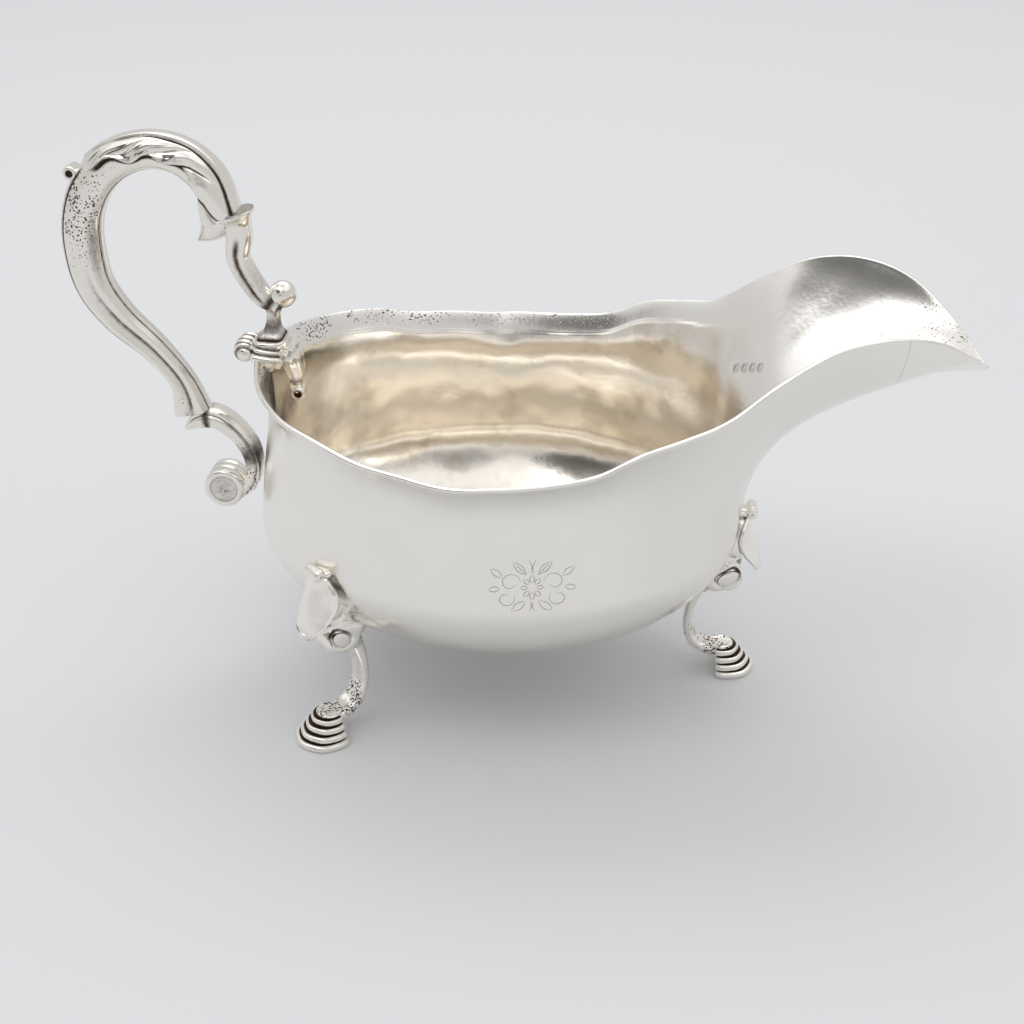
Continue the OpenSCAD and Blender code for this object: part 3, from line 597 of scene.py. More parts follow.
# %% [markdown]
# The leaf cap lies over the top of the bend. It has a smooth midrib, a deep line beside it that opens towards the end,
# and lobes that sweep from the midrib to a wavy edge. Each lobe is one arch of a sine, so the valleys between are
# sharp, as a chaser's punch leaves them.
# %% Leaf cap with its spur
def leaf_parts(steps=260, count=121):
    """The leaf and the curled spur at its end: t runs along the leaf, w from one edge to the other."""
    t = np.linspace(0, 1, steps)
    u = LEAF_START + (1 - LEAF_START) * t
    w = np.linspace(-1, 1, count)[None] + 0 * t[:, None]
    away, tt = np.abs(w), t[:, None]
    turn = np.radians(90 + leaf_spread(t)[:, None] * w)
    midrib = 0.30 * smooth((0.27 - away) / 0.05)
    line_depth = 0.22 + 0.75 * smooth((tt - 0.35) / 0.5)
    line = bump(away, 0.325, 0.035 + 0.03 * tt)
    phase = LEAF_WAVES * tt + 0.25 + LOBE_SWEEP * (away - 1)
    lobe = np.abs(np.sin(math.pi * phase))
    strength = smooth((away - 0.34) / 0.35) * (0.25 + 0.75 * smooth((tt - 0.15) / 0.4))
    relief = 0.75 * (lobe**0.85 - 0.5) * strength
    relief += 0.07 * np.abs(np.sin(3 * math.pi * phase)) * smooth((away - 0.36) / 0.2)
    rise = LEAF_T - 0.3 + midrib - line_depth * line + relief + 0.35 * smooth((away - 0.86) / 0.12)
    rise *= smooth(tt / 0.05) * 0.9 + 0.1
    rise = np.maximum(rise, 0.12)
    a, b = half_size(scroll_depths, u)[:, None], half_size(scroll_widths, u)[:, None]
    sx, sy = spow(np.sin(turn), SQUARE), spow(np.cos(turn), SQUARE)
    top = np.stack([(a + rise) * sx, (b + rise) * sy], -1)
    under = np.stack([(a - 0.25) * sx, (b - 0.25) * sy], -1)[:, ::-1]
    valley = bump(lobe, 0, 0.17) * smooth((away - 0.5) / 0.25) * smooth((tt - 0.25) / 0.4)
    edge = bump(away, 1, 0.05) * smooth((0.75 - tt) / 0.1)
    dark = np.clip(1.05 * line * smooth((tt - 0.1) / 0.4) + 0.95 * valley + 0.3 * edge, 0, 1)
    grime = np.concatenate([dark, 0.9 + 0 * dark], 1)
    cap = with_paint(across(scroll_path, u, np.concatenate([top, under], 1)), grime)
    end = scroll_path[-1]
    spur_path = end + np.array([[0.2, 1.8], [-1.4, -0.8], [-3.6, -3.4], [-6.2, -5.4]])
    v = np.linspace(0, 1, 50)
    spur = ovals(curve([6.6, 7.4, 4.8, 0.6], v)[:, 0] / 2, curve([7.4, 7.0, 4.6, 0.8], v)[:, 0] / 2, 40, 0.8)
    return cap, with_paint(across(spur_path, v, spur), 0.15)


piece("leaf_cap_relief", *joined(leaf_parts()))

# %% [markdown]
# At the leaf's root lies a small roll with a dark eye in each end. Round parts like this are turned on a lathe, so they
# are drawn the same way: half a profile, spun round its axis, which keeps the eyes in the same closed skin.
# %% Bead at the leaf's root
def turned(profile, centre, axis="y", count=48, paint_with=None):
    """A round part: profile is (place along the axis, radius) in mm, closed on the axis at both ends."""
    profile = np.asarray(profile, float)
    t = np.arange(count) * 2 * math.pi / count
    ring = np.stack([profile[:, 1:] * np.cos(t), profile[:, :1] + 0 * t, profile[:, 1:] * np.sin(t)], -1)
    if axis == "z":
        ring = ring[..., [0, 2, 1]]
    ring = ring + np.asarray(centre, float)
    shade = None if paint_with is None else np.asarray(paint_with, float)[:, None]
    return with_paint(ring, shade)


def roll_profile(radius, width, edge, eye, eye_r):
    """A roll with rounded edges and a hollow eye in each end: its profile and how dark it is."""
    h = width / 2
    turns = np.radians(np.linspace(0, 90, 7))[1:]
    half_line = [(-h + eye, 0.02), (-h + eye, radius * eye_r * 0.7), (-h, radius * eye_r), (-h, radius - edge)]
    half_line += [(-h + edge * (1 - math.cos(k)), radius - edge * (1 - math.sin(k))) for k in turns]
    half_dark = [1, 1, 0.7, 0.1] + [0.0] * 6
    return half_line + [(-x, r) for x, r in half_line[::-1]], half_dark + half_dark[::-1]


bead_u = np.array([LEAF_START - 0.03])
bead_at = across(scroll_path, bead_u, np.array([[[half_size(scroll_depths, bead_u)[0] + 0.55, 0]]]))[0, 0]
profile, dark = roll_profile(1.55, 4.6, 0.45, 0.35, 0.5)
piece("leaf_root_roll", *turned(profile, bead_at, count=40, paint_with=dark))

# %% [markdown]
# The upper scroll starts with a flared lip under the leaf, runs down with a channel in each side and turns in under a
# polished ball. It could be a bevelled curve, but a curve has one section all along, and this one flares and narrows.
# %% Upper scroll
SCROLL_END = scroll_path[-1]
BALL_R = 3.1
ball_at = RIM_BACK + [7.9, 14.2]
upper_path = np.array([SCROLL_END + [1.9, 1.4], SCROLL_END + [3.0, -3.6], SCROLL_END + [2.4, -8.6],
                       ball_at + [-7.9, 4.6], ball_at + [-4.8, -0.4], ball_at + [-1.4, -3.0]])
upper_depths, upper_widths = [9.4, 6.4, 5.6, 5.4, 4.8, 3.4], [8.2, 5.8, 5.2, 5.2, 5.0, 4.6]


def channelled_bar(path, depths, widths, steps, channel, grime, lip=None, square=SQUARE, porous=0.75, count=72):
    """A bar along a path with a channel cut into both sides: channel gives its depth, centre and width along u."""
    u = np.linspace(0, 1, steps)
    ring = ovals(half_size(depths, u), half_size(widths, u), count, square)
    turn = np.degrees(np.arcsin(np.clip(np.sin(np.arange(count) * 2 * math.pi / count), -1, 1)))[None] + 0 * u[:, None]
    depth, centre, width = channel(u)
    cut = depth[:, None] * bump(turn, centre[:, None], width)
    edge = -0.25 * depth[:, None] * (bump(turn, centre[:, None] + 1.7 * width, 0.6 * width)
                                     + bump(turn, centre[:, None] - 1.7 * width, 0.6 * width))
    if lip is not None:
        edge = edge - lip(u)[:, None]
    size = np.maximum(np.linalg.norm(ring, axis=-1), 0.05)
    ring = ring * (1 - (cut + edge) / size)[..., None]
    dark = 0.85 * bump(turn, centre[:, None], width * 0.7) * np.clip(depth / 0.5, 0, 1)[:, None]
    dark = np.maximum(dark, grime(u)[:, None])
    return with_paint(across(path, u, ring), np.clip(dark, 0, 1), porous * smooth((u - 0.3) / 0.3)[:, None])


piece("upper_scroll_bar", *channelled_bar(
    upper_path, upper_depths, upper_widths, 150,
    channel=lambda u: (0.55 * smooth((u - 0.14) / 0.2) * smooth((1.0 - u) / 0.25), 5 - 20 * u, 20),
    grime=lambda u: 0.55 * bump(u, 0.0, 0.03) + 0.32 * bump(u, 0.70, 0.22) + 0.7 * bump(u, 0.9, 0.05),
    lip=lambda u: 0.45 * bump(u, 0.045, 0.03) - 0.35 * bump(u, 0.13, 0.05), porous=0.2))

# %% [markdown]
# The ball is turned from a half circle. The stem is a pillar of four hollow faces that flares at its foot: a squarish
# oval whose sides are drawn in where the angle falls on a face.
# %% Ball and stem
a = np.radians(np.linspace(-89.5, 89.5, 60))
ball_3d = np.array([ball_at[0], 0, ball_at[1]])
profile = np.stack([BALL_R * np.sin(a), BALL_R * np.cos(a)], 1)
piece("polished_ball", *turned(profile, ball_3d, "z", 72, 0.85 * bump(a, -1.15, 0.3)))

STEM_TOP, PLINTH_TOP = ball_at + [-2.2, -3.2], RIM_BACK + [4.6, 3.9]
u = np.linspace(0, 1, 60)
centre = STEM_TOP * (1 - u)[:, None] + PLINTH_TOP * u[:, None]
size = curve([[3.6, 4.4], [3.0, 3.8], [3.2, 4.2], [4.2, 5.6], [6.6, 8.2]], u)
t = np.arange(56) * 2 * math.pi / 56
hollow = 1 - 0.10 * smooth((u - 0.1) / 0.3)[:, None] * np.abs(np.cos(2 * t))[None] ** 2
ring = np.stack([size[:, :1] / 2 * spow(np.sin(t), 0.6) * hollow + centre[:, :1],
                 size[:, 1:] / 2 * spow(np.cos(t), 0.6) * hollow, centre[:, 1:] + 0 * hollow], -1)
grime = 0.9 * bump(u, 1.0, 0.10) + 0.5 * bump(u, 0, 0.12) + 0.68 * bump(u, 0.55, 0.38)
piece("flared_stem", *with_paint(ring, grime[:, None]))

# %% [markdown]
# The plinth is a stack of mouldings with a squarish plan, drawn as one profile: at each height, how far it stands out.
# On the outer side a ribbed roll grips the rim. A profile was chosen over stacked plates because real mouldings run
# into each other with small hollows, where tarnish stays.
# %% Plinth that grips the rim
PLINTH_W, PLINTH_L, PLINTH_LEAN, PLINTH_SLOPE, RIBS = 12.0, 9.6, -0.756, 0.48, 5
PLINTH_PROFILE = [(0.0, 0.70), (-0.25, 0.76), (-0.75, 0.80), (-1.2, 0.77), (-1.45, 0.74), (-1.6, 0.84), (-2.0, 0.90),
                  (-2.45, 0.88), (-2.7, 0.83), (-2.9, 0.92), (-3.3, 1.0), (-3.9, 1.02), (-4.4, 0.97), (-5.2, 0.90),
                  (-6.0, 0.80)]
u = np.linspace(0, 1, 120)
prof = curve(PLINTH_PROFILE, u)
t = np.arange(96) * 2 * math.pi / 96
plan_x, plan_y = spow(np.sin(t), 0.62), spow(np.cos(t), 0.62)
slope = PLINTH_SLOPE * plan_x * smooth(-prof[:, :1] / 1.5)
ring = np.stack([PLINTH_TOP[0] + PLINTH_LEAN * u[:, None] + prof[:, 1:] * plan_x * PLINTH_L / 2,
                 prof[:, 1:] * plan_y * PLINTH_W / 2, PLINTH_TOP[1] + prof[:, :1] - slope], -1)
dips = bump(prof[:, 0], -1.5, 0.22) + bump(prof[:, 0], -2.78, 0.22) + 0.8 * bump(prof[:, 0], 0.0, 0.15)
body = with_paint(ring, 0.62 * np.clip(dips, 0, 1)[:, None])
roll_u = np.linspace(0, 1, 70)
ribs = np.cos(roll_u * 2 * math.pi * RIBS)
sections = ovals(2.35 + 0.16 * ribs, 2.15 + 0.16 * ribs, 40, 1.0)
y = (roll_u - 0.5) * PLINTH_W * 0.93
bow = 1.1 * (1 - (2 * roll_u - 1) ** 2)
end_round = np.sqrt(np.clip(1 - np.abs(2 * roll_u - 1) ** 6, 0.02, 1))
roll_at = [PLINTH_TOP[0] - 5.3, PLINTH_TOP[1] - 2.9]
roll = np.stack([roll_at[0] - bow[:, None] + sections[..., 0] * end_round[:, None],
                 y[:, None] + 0 * sections[..., 0], roll_at[1] + sections[..., 1] * end_round[:, None]], -1)
piece("moulded_plinth", *joined([body, with_paint(roll, 0.75 * (0.5 - 0.5 * ribs)[:, None])]))

# %% [markdown]
# The drop hangs inside the rim: a softly pleated leaf that narrows to a small curl with a dark eye. It is one more
# swept oval, and the pleats are a cosine round its section that fades before the curl.
# %% Drop inside the rim
drop_path = PLINTH_TOP + np.array([[2.6, -1.6], [4.2, -4.6], [4.9, -8.0], [4.7, -11.4], [5.0, -13.6]])
u = np.linspace(0, 1, 110)
t = np.arange(64) * 2 * math.pi / 64
ring = ovals(half_size([5.0, 4.8, 4.0, 3.0, 2.6], u), half_size([10.4, 9.6, 6.8, 3.6, 2.6], u), 64, 0.9)
pleat = 0.07 * np.cos(6 * t)[None] * (smooth(u / 0.1) * smooth((0.8 - u) / 0.3))[:, None]
waist = 1 - 0.04 * bump(u, 0.16, 0.04) - 0.22 * bump(u, 0.68, 0.06)
ring = ring * (waist[:, None] + pleat)[..., None]
grime = 0.5 * bump(u, 0.16, 0.03)[:, None] + 0.8 * bump(u, 0.68, 0.05)[:, None] - 4 * np.minimum(pleat, 0)
body = with_paint(across(drop_path, u, ring), 0.75 * np.clip(grime, 0, 1))
curl_at = np.array([drop_path[-1][0] + 0.3, 0, drop_path[-1][1] - 0.2])
profile, dark = roll_profile(1.55, 3.4, 0.5, 0.4, 0.55)
piece("pleated_rim_drop", *joined([body, turned(profile, curl_at, count=40, paint_with=dark)]))

# %% [markdown]
# The lower scroll is a flat band with a raised edge along each side of its outer face. It carries the main scroll's
# foot, leans on the bowl, and winds into a roll.
# %% Lower scroll and its rolled end
BAND_W, ROLL_R, ROLL_W, ROLL_EDGE = 6.4, 4.8, 7.6, 0.7
band_path = RIM_BACK + np.array([[-17.4, -19.6], [-14.2, -17.4], [-10.2, -17.0], [-5.8, -20.2], [-2.9, -24.8],
                                 [-2.2, -29.6], [-3.8, -34.2], [-7.4, -37.4]])
band_depths = [1.6, 4.4, 5.0, 4.6, 4.2, 4.0, 3.8, 2.6]
band_widths = BAND_W * np.array([0.7, 1, 1, 1, 1, 1, 1, 0.9])
piece("lower_scroll_band", *channelled_bar(
    band_path, band_depths, band_widths, 170,
    channel=lambda u: (0.42 * smooth((u - 0.02) / 0.1) * smooth((1 - u) / 0.15), 22 + 0 * u, 11),
    grime=lambda u: 0.85 * bump(u, 0.22, 0.04) + 0.75 * bump(u, 0.60, 0.10), square=0.62))

volute_at = np.array([RIM_BACK[0] - 9.4, 0, RIM_BACK[1] - 34.6])
end, edge = ROLL_W / 2, ROLL_R - ROLL_EDGE
half_line = [(-end + 0.30, 0.02), (-end + 0.30, 2.9), (-end + 0.10, 3.3), (-end, 3.6), (-end, edge)]
half_line += [(-end + ROLL_EDGE * (1 - math.cos(g)), edge + ROLL_EDGE * math.sin(g))
              for g in np.radians([20, 45, 70, 90])]
half_line += [(-1.6, ROLL_R), (-1.2, ROLL_R - 0.18), (-0.8, ROLL_R)]
volute = half_line + [(-x, r) for x, r in half_line[::-1]]
shade = [0.45, 0.35, 0.5, 0.1, 0, 0, 0, 0, 0, 0, 0.5, 0]
points, faces, paints = turned(volute, volute_at, count=96, paint_with=shade + shade[::-1])
from_axis = np.hypot(points[:, 0] - volute_at[0], points[:, 2] - volute_at[2])
paints[:, 1] = np.where((np.abs(points[:, 1]) > 3.4) & (from_axis < 2.8), 1.0, 0.1)
piece("rolled_scroll_end", points, faces, paints)

# %% [markdown]
# A foot is drawn once, toe towards +X with its sole's middle on the origin, and set in three places. The two rear feet
# lean their knees back to meet the bowl. Soft castings such as the knee are made as a wax modeller would: rough forms
# pushed together, then melted into one skin with a fine voxel remesh and smoothed.
# %% Setting out the feet
FRONT_REACH, REAR_REACH, REAR_ANGLE, KNEE_H, REAR_LEAN = 55.5, 53.5, 44, 46, 5.5
KNEE_W, LAPPET_W, SHANK_W, SOLE_R, HOOF_H, ANKLE_H = 9.6, 12.6, 5.0, 6.9, 6.2, 8
FEET = {"front": (0, FRONT_REACH, 0.0), "near": (180 + REAR_ANGLE, REAR_REACH, REAR_LEAN),
        "far": (180 - REAR_ANGLE, REAR_REACH, REAR_LEAN)}
k = KNEE_H


def set_foot(points, foot, lean=True):
    """Points of the drawn foot, leaned and turned to one of the three places."""
    turn, reach, tilt = FEET[foot]
    p = np.array(points, float)
    if lean:
        p[..., 0] -= math.tan(math.radians(tilt)) * np.maximum(p[..., 2] - ANKLE_H, 0)
    c, s = math.cos(math.radians(turn)), math.sin(math.radians(turn))
    x, y = p[..., 0] + reach, p[..., 1].copy()
    return np.stack([BOWL_X + x * c - y * s, x * s + y * c, p[..., 2]], -1)


def melted(name, parts, voxel, smooths):
    """Several closed skins remeshed into one and smoothed: points and faces in mm."""
    points, faces, _ = joined(parts)
    mesh = bpy.data.meshes.new(name)
    mesh.from_pydata(points.tolist(), [], faces)
    obj = bpy.data.objects.new(name, mesh)
    bpy.context.scene.collection.objects.link(obj)
    remesh = obj.modifiers.new("remesh", "REMESH")
    remesh.mode, remesh.voxel_size, remesh.adaptivity = "VOXEL", voxel, 0
    relax = obj.modifiers.new("relax", "SMOOTH")
    relax.factor, relax.iterations = 0.5, smooths
    bpy.context.view_layer.update()
    result = bpy.data.meshes.new_from_object(obj.evaluated_get(bpy.context.evaluated_depsgraph_get()))
    out = np.zeros(len(result.vertices) * 3)
    result.vertices.foreach_get("co", out)
    quads = [list(f.vertices) for f in result.polygons]
    bpy.data.objects.remove(obj)
    return out.reshape(-1, 3), quads


print("feet stand at", {foot: set_foot([[0, 0, 0]], foot).round(1).tolist()[0] for foot in FEET})


# %% [markdown]
# The knee is a volute seen from the side: a round eye block low down, a neck rising under the shield, and a root that
# sinks into the bowl. Each form is a short bar rounded at both ends, and melting them together rounds the hollows
# between them as a casting has them.
# %% Rough forms of the knee
def capsule(start, end, r_start, r_end, width_start, width_end, steps=24, count=40):
    """A bar between two points of the foot's side view, rounded at both ends."""
    v = np.linspace(-1, 1, steps)
    cap = np.sqrt(np.clip(1 - np.abs(v) ** 5, 0.001, 1))
    k = (v + 1) / 2
    path = np.array([start, end], float)
    d = unit(path[1] - path[0])
    r = r_start + (r_end - r_start) * k
    w = width_start + (width_end - width_start) * k
    ring = ovals(r * cap, w / 2 * cap, count, 0.85)
    mid = path[0] + (path[1] - path[0]) * k[:, None] + d * (v * r)[:, None] * 0.5
    side = np.array([-d[1], 0, d[0]])
    middle_line = np.stack([mid[:, 0], 0 * k, mid[:, 1]], 1)
    return skin(middle_line[:, None] + ring[..., :1] * side + ring[..., 1:] * np.array([0, 1.0, 0]))


def knee_forms():
    """Two round eye blocks and the bars of neck, shoulder and root."""
    half_disc = [(-KNEE_W / 2, 0.02)]
    half_disc += [(-KNEE_W / 2 + 0.7 * (1 - math.cos(g)), 3.3 - 0.7 * (1 - math.sin(g)))
                  for g in np.radians([0, 30, 60, 90])]
    disc = half_disc + [(-x, r) for x, r in half_disc[::-1]]
    eye_block = turned(disc, (-1.2, 0, k - 18.4), count=56)[:2]
    second = turned([(x * 0.93, r * 0.94) for x, r in disc], (-3.9, 0, k - 19.2), count=56)[:2]
    return [eye_block, second,
            capsule((0.9, k - 5.2), (-0.6, k - 14), 1.7, 2.6, 4.8, 8.2),
            capsule((1.6, k - 4.0), (-1.0, k - 12), 2.2, 3.4, 6.0, 9.6),
            capsule((2.6, k - 2.3), (-4.5, k - 0.8), 1.15, 1.8, 5.2, 6.2),
            capsule((-0.6, k - 14), (-2.2, k - 18), 2.8, 3.2, 8.4, 9.0),
            capsule((-3.2, k - 19.4), (-8.6, k - 23.4), 2.8, 1.5, 8.6, 5.6),
            capsule((-1.2, k - 16.2), (-7.5, k - 17.4), 3.2, 3.6, 9.2, 9.8),
            capsule((0.0, k - 6.5), (-7, k - 2), 2.0, 2.2, 5.6, 6.4),
            capsule((-1.6, k - 14), (-9, k - 9), 3.0, 3.2, 8.4, 9.6),
            capsule((-4.0, k - 19), (-12, k - 14), 2.6, 2.6, 8.2, 9.0)]


knee_points, knee_faces = melted("knee_form", knee_forms(), 0.30, 5)
print("knee:", len(knee_points), "points")

# %% [markdown]
# Solder and silver feather out from the knee over the bowl. A shape modelled by eye would leave gaps on a doubly curved
# wall, so the skirt is cast onto it: rays find the wall, and the skirt's height falls away from the knee to nothing.
# %% Skirt on the bowl
STAR = np.array([(0, 9.5), (28, 6.5), (62, 4.6), (90, 5.6), (118, 4.6), (152, 6.5), (180, 9.5), (205, 14.5), (235, 9.5),
                 (270, 15.5), (305, 9.5), (335, 14.5), (360, 9.5)])
SKIRT_T, SKIRT_ROOT = 2.2, 0.35
BOWL_HEART = Vector((BOWL_X, 0, 60))


def feathered_skirt(foot):
    """A thin skirt laid on the bowl round the knee: thick at the knee, nothing at its star-shaped edge."""
    angles = np.linspace(0, 2 * math.pi, 145)[:-1]
    edge = np.interp(np.degrees(angles), STAR[:, 0], STAR[:, 1])
    for _ in range(5):
        edge = (np.roll(edge, 1) + edge + np.roll(edge, -1)) / 3
    shares = np.linspace(0, 1, 28)
    core = np.array([-2.0, 0, KNEE_H - 13.0])
    outward, sideways, up = np.array([0.80, 0, -0.60]), np.array([0, 1.0, 0]), np.array([0.60, 0, 0.80])
    rings = []
    for s in shares[::-1]:
        flat = core + (np.cos(angles) * edge * s)[:, None] * sideways + (np.sin(angles) * edge * s)[:, None] * up
        starts, far = set_foot(flat + outward * 22, foot), set_foot(flat - outward * 10, foot)
        hits = []
        for p, q in zip(starts, far):
            place, facing, _, _ = bowl_tree.ray_cast(Vector(p), Vector(q - p).normalized())
            hits.append((*place, *(facing if facing.dot(place - BOWL_HEART) > 0 else -facing)))
        rings.append(hits)
    hits = np.array(rings)
    thick = (SKIRT_T * (1 - shares[::-1]) ** 1.7)[:, None, None]
    top = hits[..., :3] + hits[..., 3:] * (thick + 0.02)
    under = hits[::-1, :, :3] - hits[::-1, :, 3:] * SKIRT_ROOT
    ring = np.concatenate([under, top])
    top_grime = 0.30 * bump(shares[::-1], 1.0, 0.07) + 0.10 * bump(shares[::-1], 0.55, 0.35)
    grime = np.concatenate([np.full(len(shares), 0.3), top_grime])
    return with_paint(ring, grime[:, None], 0.6)


skirts = {foot: feathered_skirt(foot) for foot in FEET}
print("skirt:", len(skirts["front"][0]), "points")

# %% [markdown]
# Each side of the knee has an oval eye in a dark groove. The groove is pressed into the melted skin by its distance
# from the eye's middle line, and the same distance paints it dark: tarnish, with painted shade that grows towards the
# groove's top. The knee's root must not show inside the bowl, so points that pass through the sheet are brought back
# to just under its outer skin.
# %% Knee castings
EYE_AT, EYE_LEAN, GROOVE_DEPTH = (-1.4, KNEE_H - 18), math.radians(38), 0.45


def groove_round_eye(p):
    """Depth of the groove round each eye, as a share, at points on the knee."""
    dx, dz = p[:, 0] - EYE_AT[0], p[:, 2] - EYE_AT[1]
    c, s = math.cos(EYE_LEAN), math.sin(EYE_LEAN)
    return bump(np.hypot(np.maximum(np.abs(dx * c + dz * s) - 1.3, 0), dz * c - dx * s), 1.8, 0.32)


groove = groove_round_eye(knee_points)
side_face = smooth((np.abs(knee_points[:, 1]) - KNEE_W * 0.36) / 0.6)
knee_points[:, 1] -= np.sign(knee_points[:, 1]) * GROOVE_DEPTH * groove * side_face
# Painted shade: the groove's dark grows towards its top, on top of its tarnish.
knee_groove_tarnish_and_shade = groove * side_face * (0.30 + 0.55 * smooth((knee_points[:, 2] - EYE_AT[1] + 1.5) / 3))
outer_quads = [q for j in range(rows - 1) for q in band_quads(j * around, j * around + around, around)]
outer_tree = BVHTree.FromPolygons(outer.reshape(-1, 3).tolist(), outer_quads)


def kept_in_sheet(points, bite=0.5):
    """Points that would show inside the bowl are brought back to just under its outer skin."""
    kept = points.copy()
    for i, p in enumerate(points):
        place, facing, _, _ = outer_tree.find_nearest(Vector(p))
        inward = (Vector(p) - place).dot(facing)
        out = 1 if facing.dot(place - BOWL_HEART) > 0 else -1
        if -inward * out > bite:
            kept[i] = place - facing * bite * out
    return kept


for foot in FEET:
    solid = (kept_in_sheet(set_foot(knee_points, foot)), knee_faces, np.stack([knee_groove_tarnish_and_shade, 0.25 + 0 * knee_groove_tarnish_and_shade], 1))
    piece(f"{foot}_knee_casting", *joined([solid, skirts[foot]]), foot_silver)

# %% [markdown]
# The shield is a bowed plate with a slightly raised border, a curl at its top and a small bead at its tip. Its front
# and back are one grid that follows a path down the knee, so the border runs cleanly to the point.
# %% Shield
lappet_path = [[3.1, k - 2.2], [3.7, k - 5], [4.8, k - 8.2], [5.7, k - 11.4], [6.2, k - 14.2], [5.8, k - 16.6]]
lappet_widths = LAPPET_W * np.array([0.52, 0.94, 1.00, 0.92, 0.74, 0.40])
lappet_bow = [0.6, 2.4, 3.8, 3.2, 1.6, 0.3]


def shield_parts():
    """The plate, the curl over its top and the bead at its tip: u runs down, w across."""
    u, w = np.linspace(0, 1, 90), np.linspace(1, -1, 49)[None]
    p = curve(lappet_path, u)
    width, bow = half_size(lappet_widths, u)[:, None], curve(lappet_bow, u)
    border = 0.28 * bump(np.abs(w), 0.90, 0.07) - 0.10 * bump(np.abs(w), 0.76, 0.06)
    front_x = p[:, :1] - bow * w**2 + border * smooth((u - 0.06) / 0.1)[:, None]
    back_x = p[:, :1] - bow * w**2 - 1.25 * (1 - 0.55 * w**2)
    z = p[:, 1:] + 0 * w
    front = np.stack([front_x, width * w, z], -1)
    back = np.stack([back_x, width * w * 0.96, z], -1)[:, ::-1]
    grime = np.concatenate([0.22 * bump(np.abs(w), 0.76, 0.05) + 0 * z, 0.4 + 0 * z], 1)
    plate = with_paint(np.concatenate([front, back], 1), grime)
    profile, dark = roll_profile(1.45, LAPPET_W * 0.46, 1.0, 0.12, 0.22)
    curl = turned(profile, (3.2, 0, k - 1.4), count=40, paint_with=np.array(dark) * 0.5)
    a = np.radians(np.linspace(-88, 88, 14))
    tip = turned(np.stack([1.5 * np.sin(a), 0.85 * np.cos(a)], 1), (5.75, 0, k - 16.2), count=24)
    return joined([plate, curl, tip])


shield = shield_parts()
print("shield:", len(shield[0]), "points")

# %% [markdown]
# The eye is an oval button, domed, let into the groove. Rings that shrink while they rise make its dome. Then each foot
# gets its shield and its two eyes.
# %% Eye buttons, and both set on the feet
EYE_LENGTH, EYE_HEIGHT, EYE_DOME = 2.9, 1.6, 0.45


def eye_button(side):
    """A domed oval button, set square to the knee's side."""
    shares = np.linspace(1, 0.03, 18)
    size = np.concatenate([[1.0], shares])[:, None]
    height = np.concatenate([[-0.5], EYE_DOME * np.sqrt(np.maximum(1 - shares**2.6, 0))])[:, None]
    t = np.arange(48) * 2 * math.pi / 48
    along, over = EYE_LENGTH * size * np.cos(t), EYE_HEIGHT * size * np.sin(t)
    x = EYE_AT[0] + along * math.cos(EYE_LEAN) - over * math.sin(EYE_LEAN)
    z = EYE_AT[1] + along * math.sin(EYE_LEAN) + over * math.cos(EYE_LEAN)
    edge = np.concatenate([[1.0], bump(shares, 1.0, 0.06)])
    return with_paint(np.stack([x, side * (KNEE_W / 2 + height) + 0 * x, z], -1), edge[:, None], 0.15)


eyes = joined([eye_button(-1), eye_button(1)])
for foot in FEET:
    for name, (points, faces, paints) in (("shield", shield), ("eye_buttons", eyes)):
        piece(f"{foot}_{name}", set_foot(points, foot), faces, paints, foot_silver)

# %% [markdown]
# The shank is a strap with a hollow front that curves down behind the heel and ends in a round pad on the hoof. It is
# swept like the scrolls, because its section changes from a thick root to a thin ankle.
# %% Shank with its pad
PAD_R, PAD_X, HEEL = 3.1, -1.6, 2.6
shank_path = [[-6.8, k - 20.5], [-9.0, k - 26.2], [-10.0, k - 31.6], [-9.8, HOOF_H + 4.4], [-7.9, HOOF_H + 0.9],
              [-3.8, HOOF_H - 0.8], [-1.4, HOOF_H - 0.6]]


def shank_parts():
    """The strap with its dished front, and the pad it ends in."""
    u = np.linspace(0, 1, 120)
    ring = ovals(half_size([3.4, 2.8, 2.6, 2.6, 3.0, 3.1, 2.4], u),
                 SHANK_W * half_size([1.2, 1.08, 1.05, 1.08, 1.12, 1.12, 1.0], u), 56, 0.7)
    t = np.arange(56) * 2 * math.pi / 56
    front = bump(np.degrees(np.arcsin(np.sin(t))), 90, 42)[None] * np.sign(np.maximum(np.sin(t), 0))[None]
    dish = 0.55 * front * (smooth((u - 0.1) / 0.2) * smooth((0.92 - u) / 0.2))[:, None]
    ring[..., 0] -= dish
    strap = with_paint(across(shank_path, u, ring), 0.25 * dish + 0.55 * bump(u, 0.03, 0.05)[:, None],
                       (0.4 + 0.6 * smooth((u - 0.3) / 0.3))[:, None])
    profile = [(0.0, 0.02), (0.0, PAD_R - 0.3)]
    profile += [(0.35 * (1 - math.cos(g)), PAD_R - 0.3 + 0.3 * math.sin(g)) for g in np.radians([30, 60, 90])]
    profile += [(0.35 + 0.45 * math.sin(g), PAD_R - 0.5 * (1 - math.cos(g))) for g in np.radians([30, 60, 90])]
    profile += [(0.72, 2.2), (0.66, 1.4), (0.64, 0.02)]
    pad = turned(profile, (PAD_X, 0, HOOF_H - 0.02), "z", 56, [1, 1, 0.8, 0.5, 0.2, 0, 0, 0, 0.15, 0.2, 0.2])
    pad[2][:, 1] = 1.0
    return joined([strap, pad])


points, faces, paints = shank_parts()
for foot in FEET:
    piece(f"{foot}_strap_shank", set_foot(points, foot), faces, paints, foot_silver)

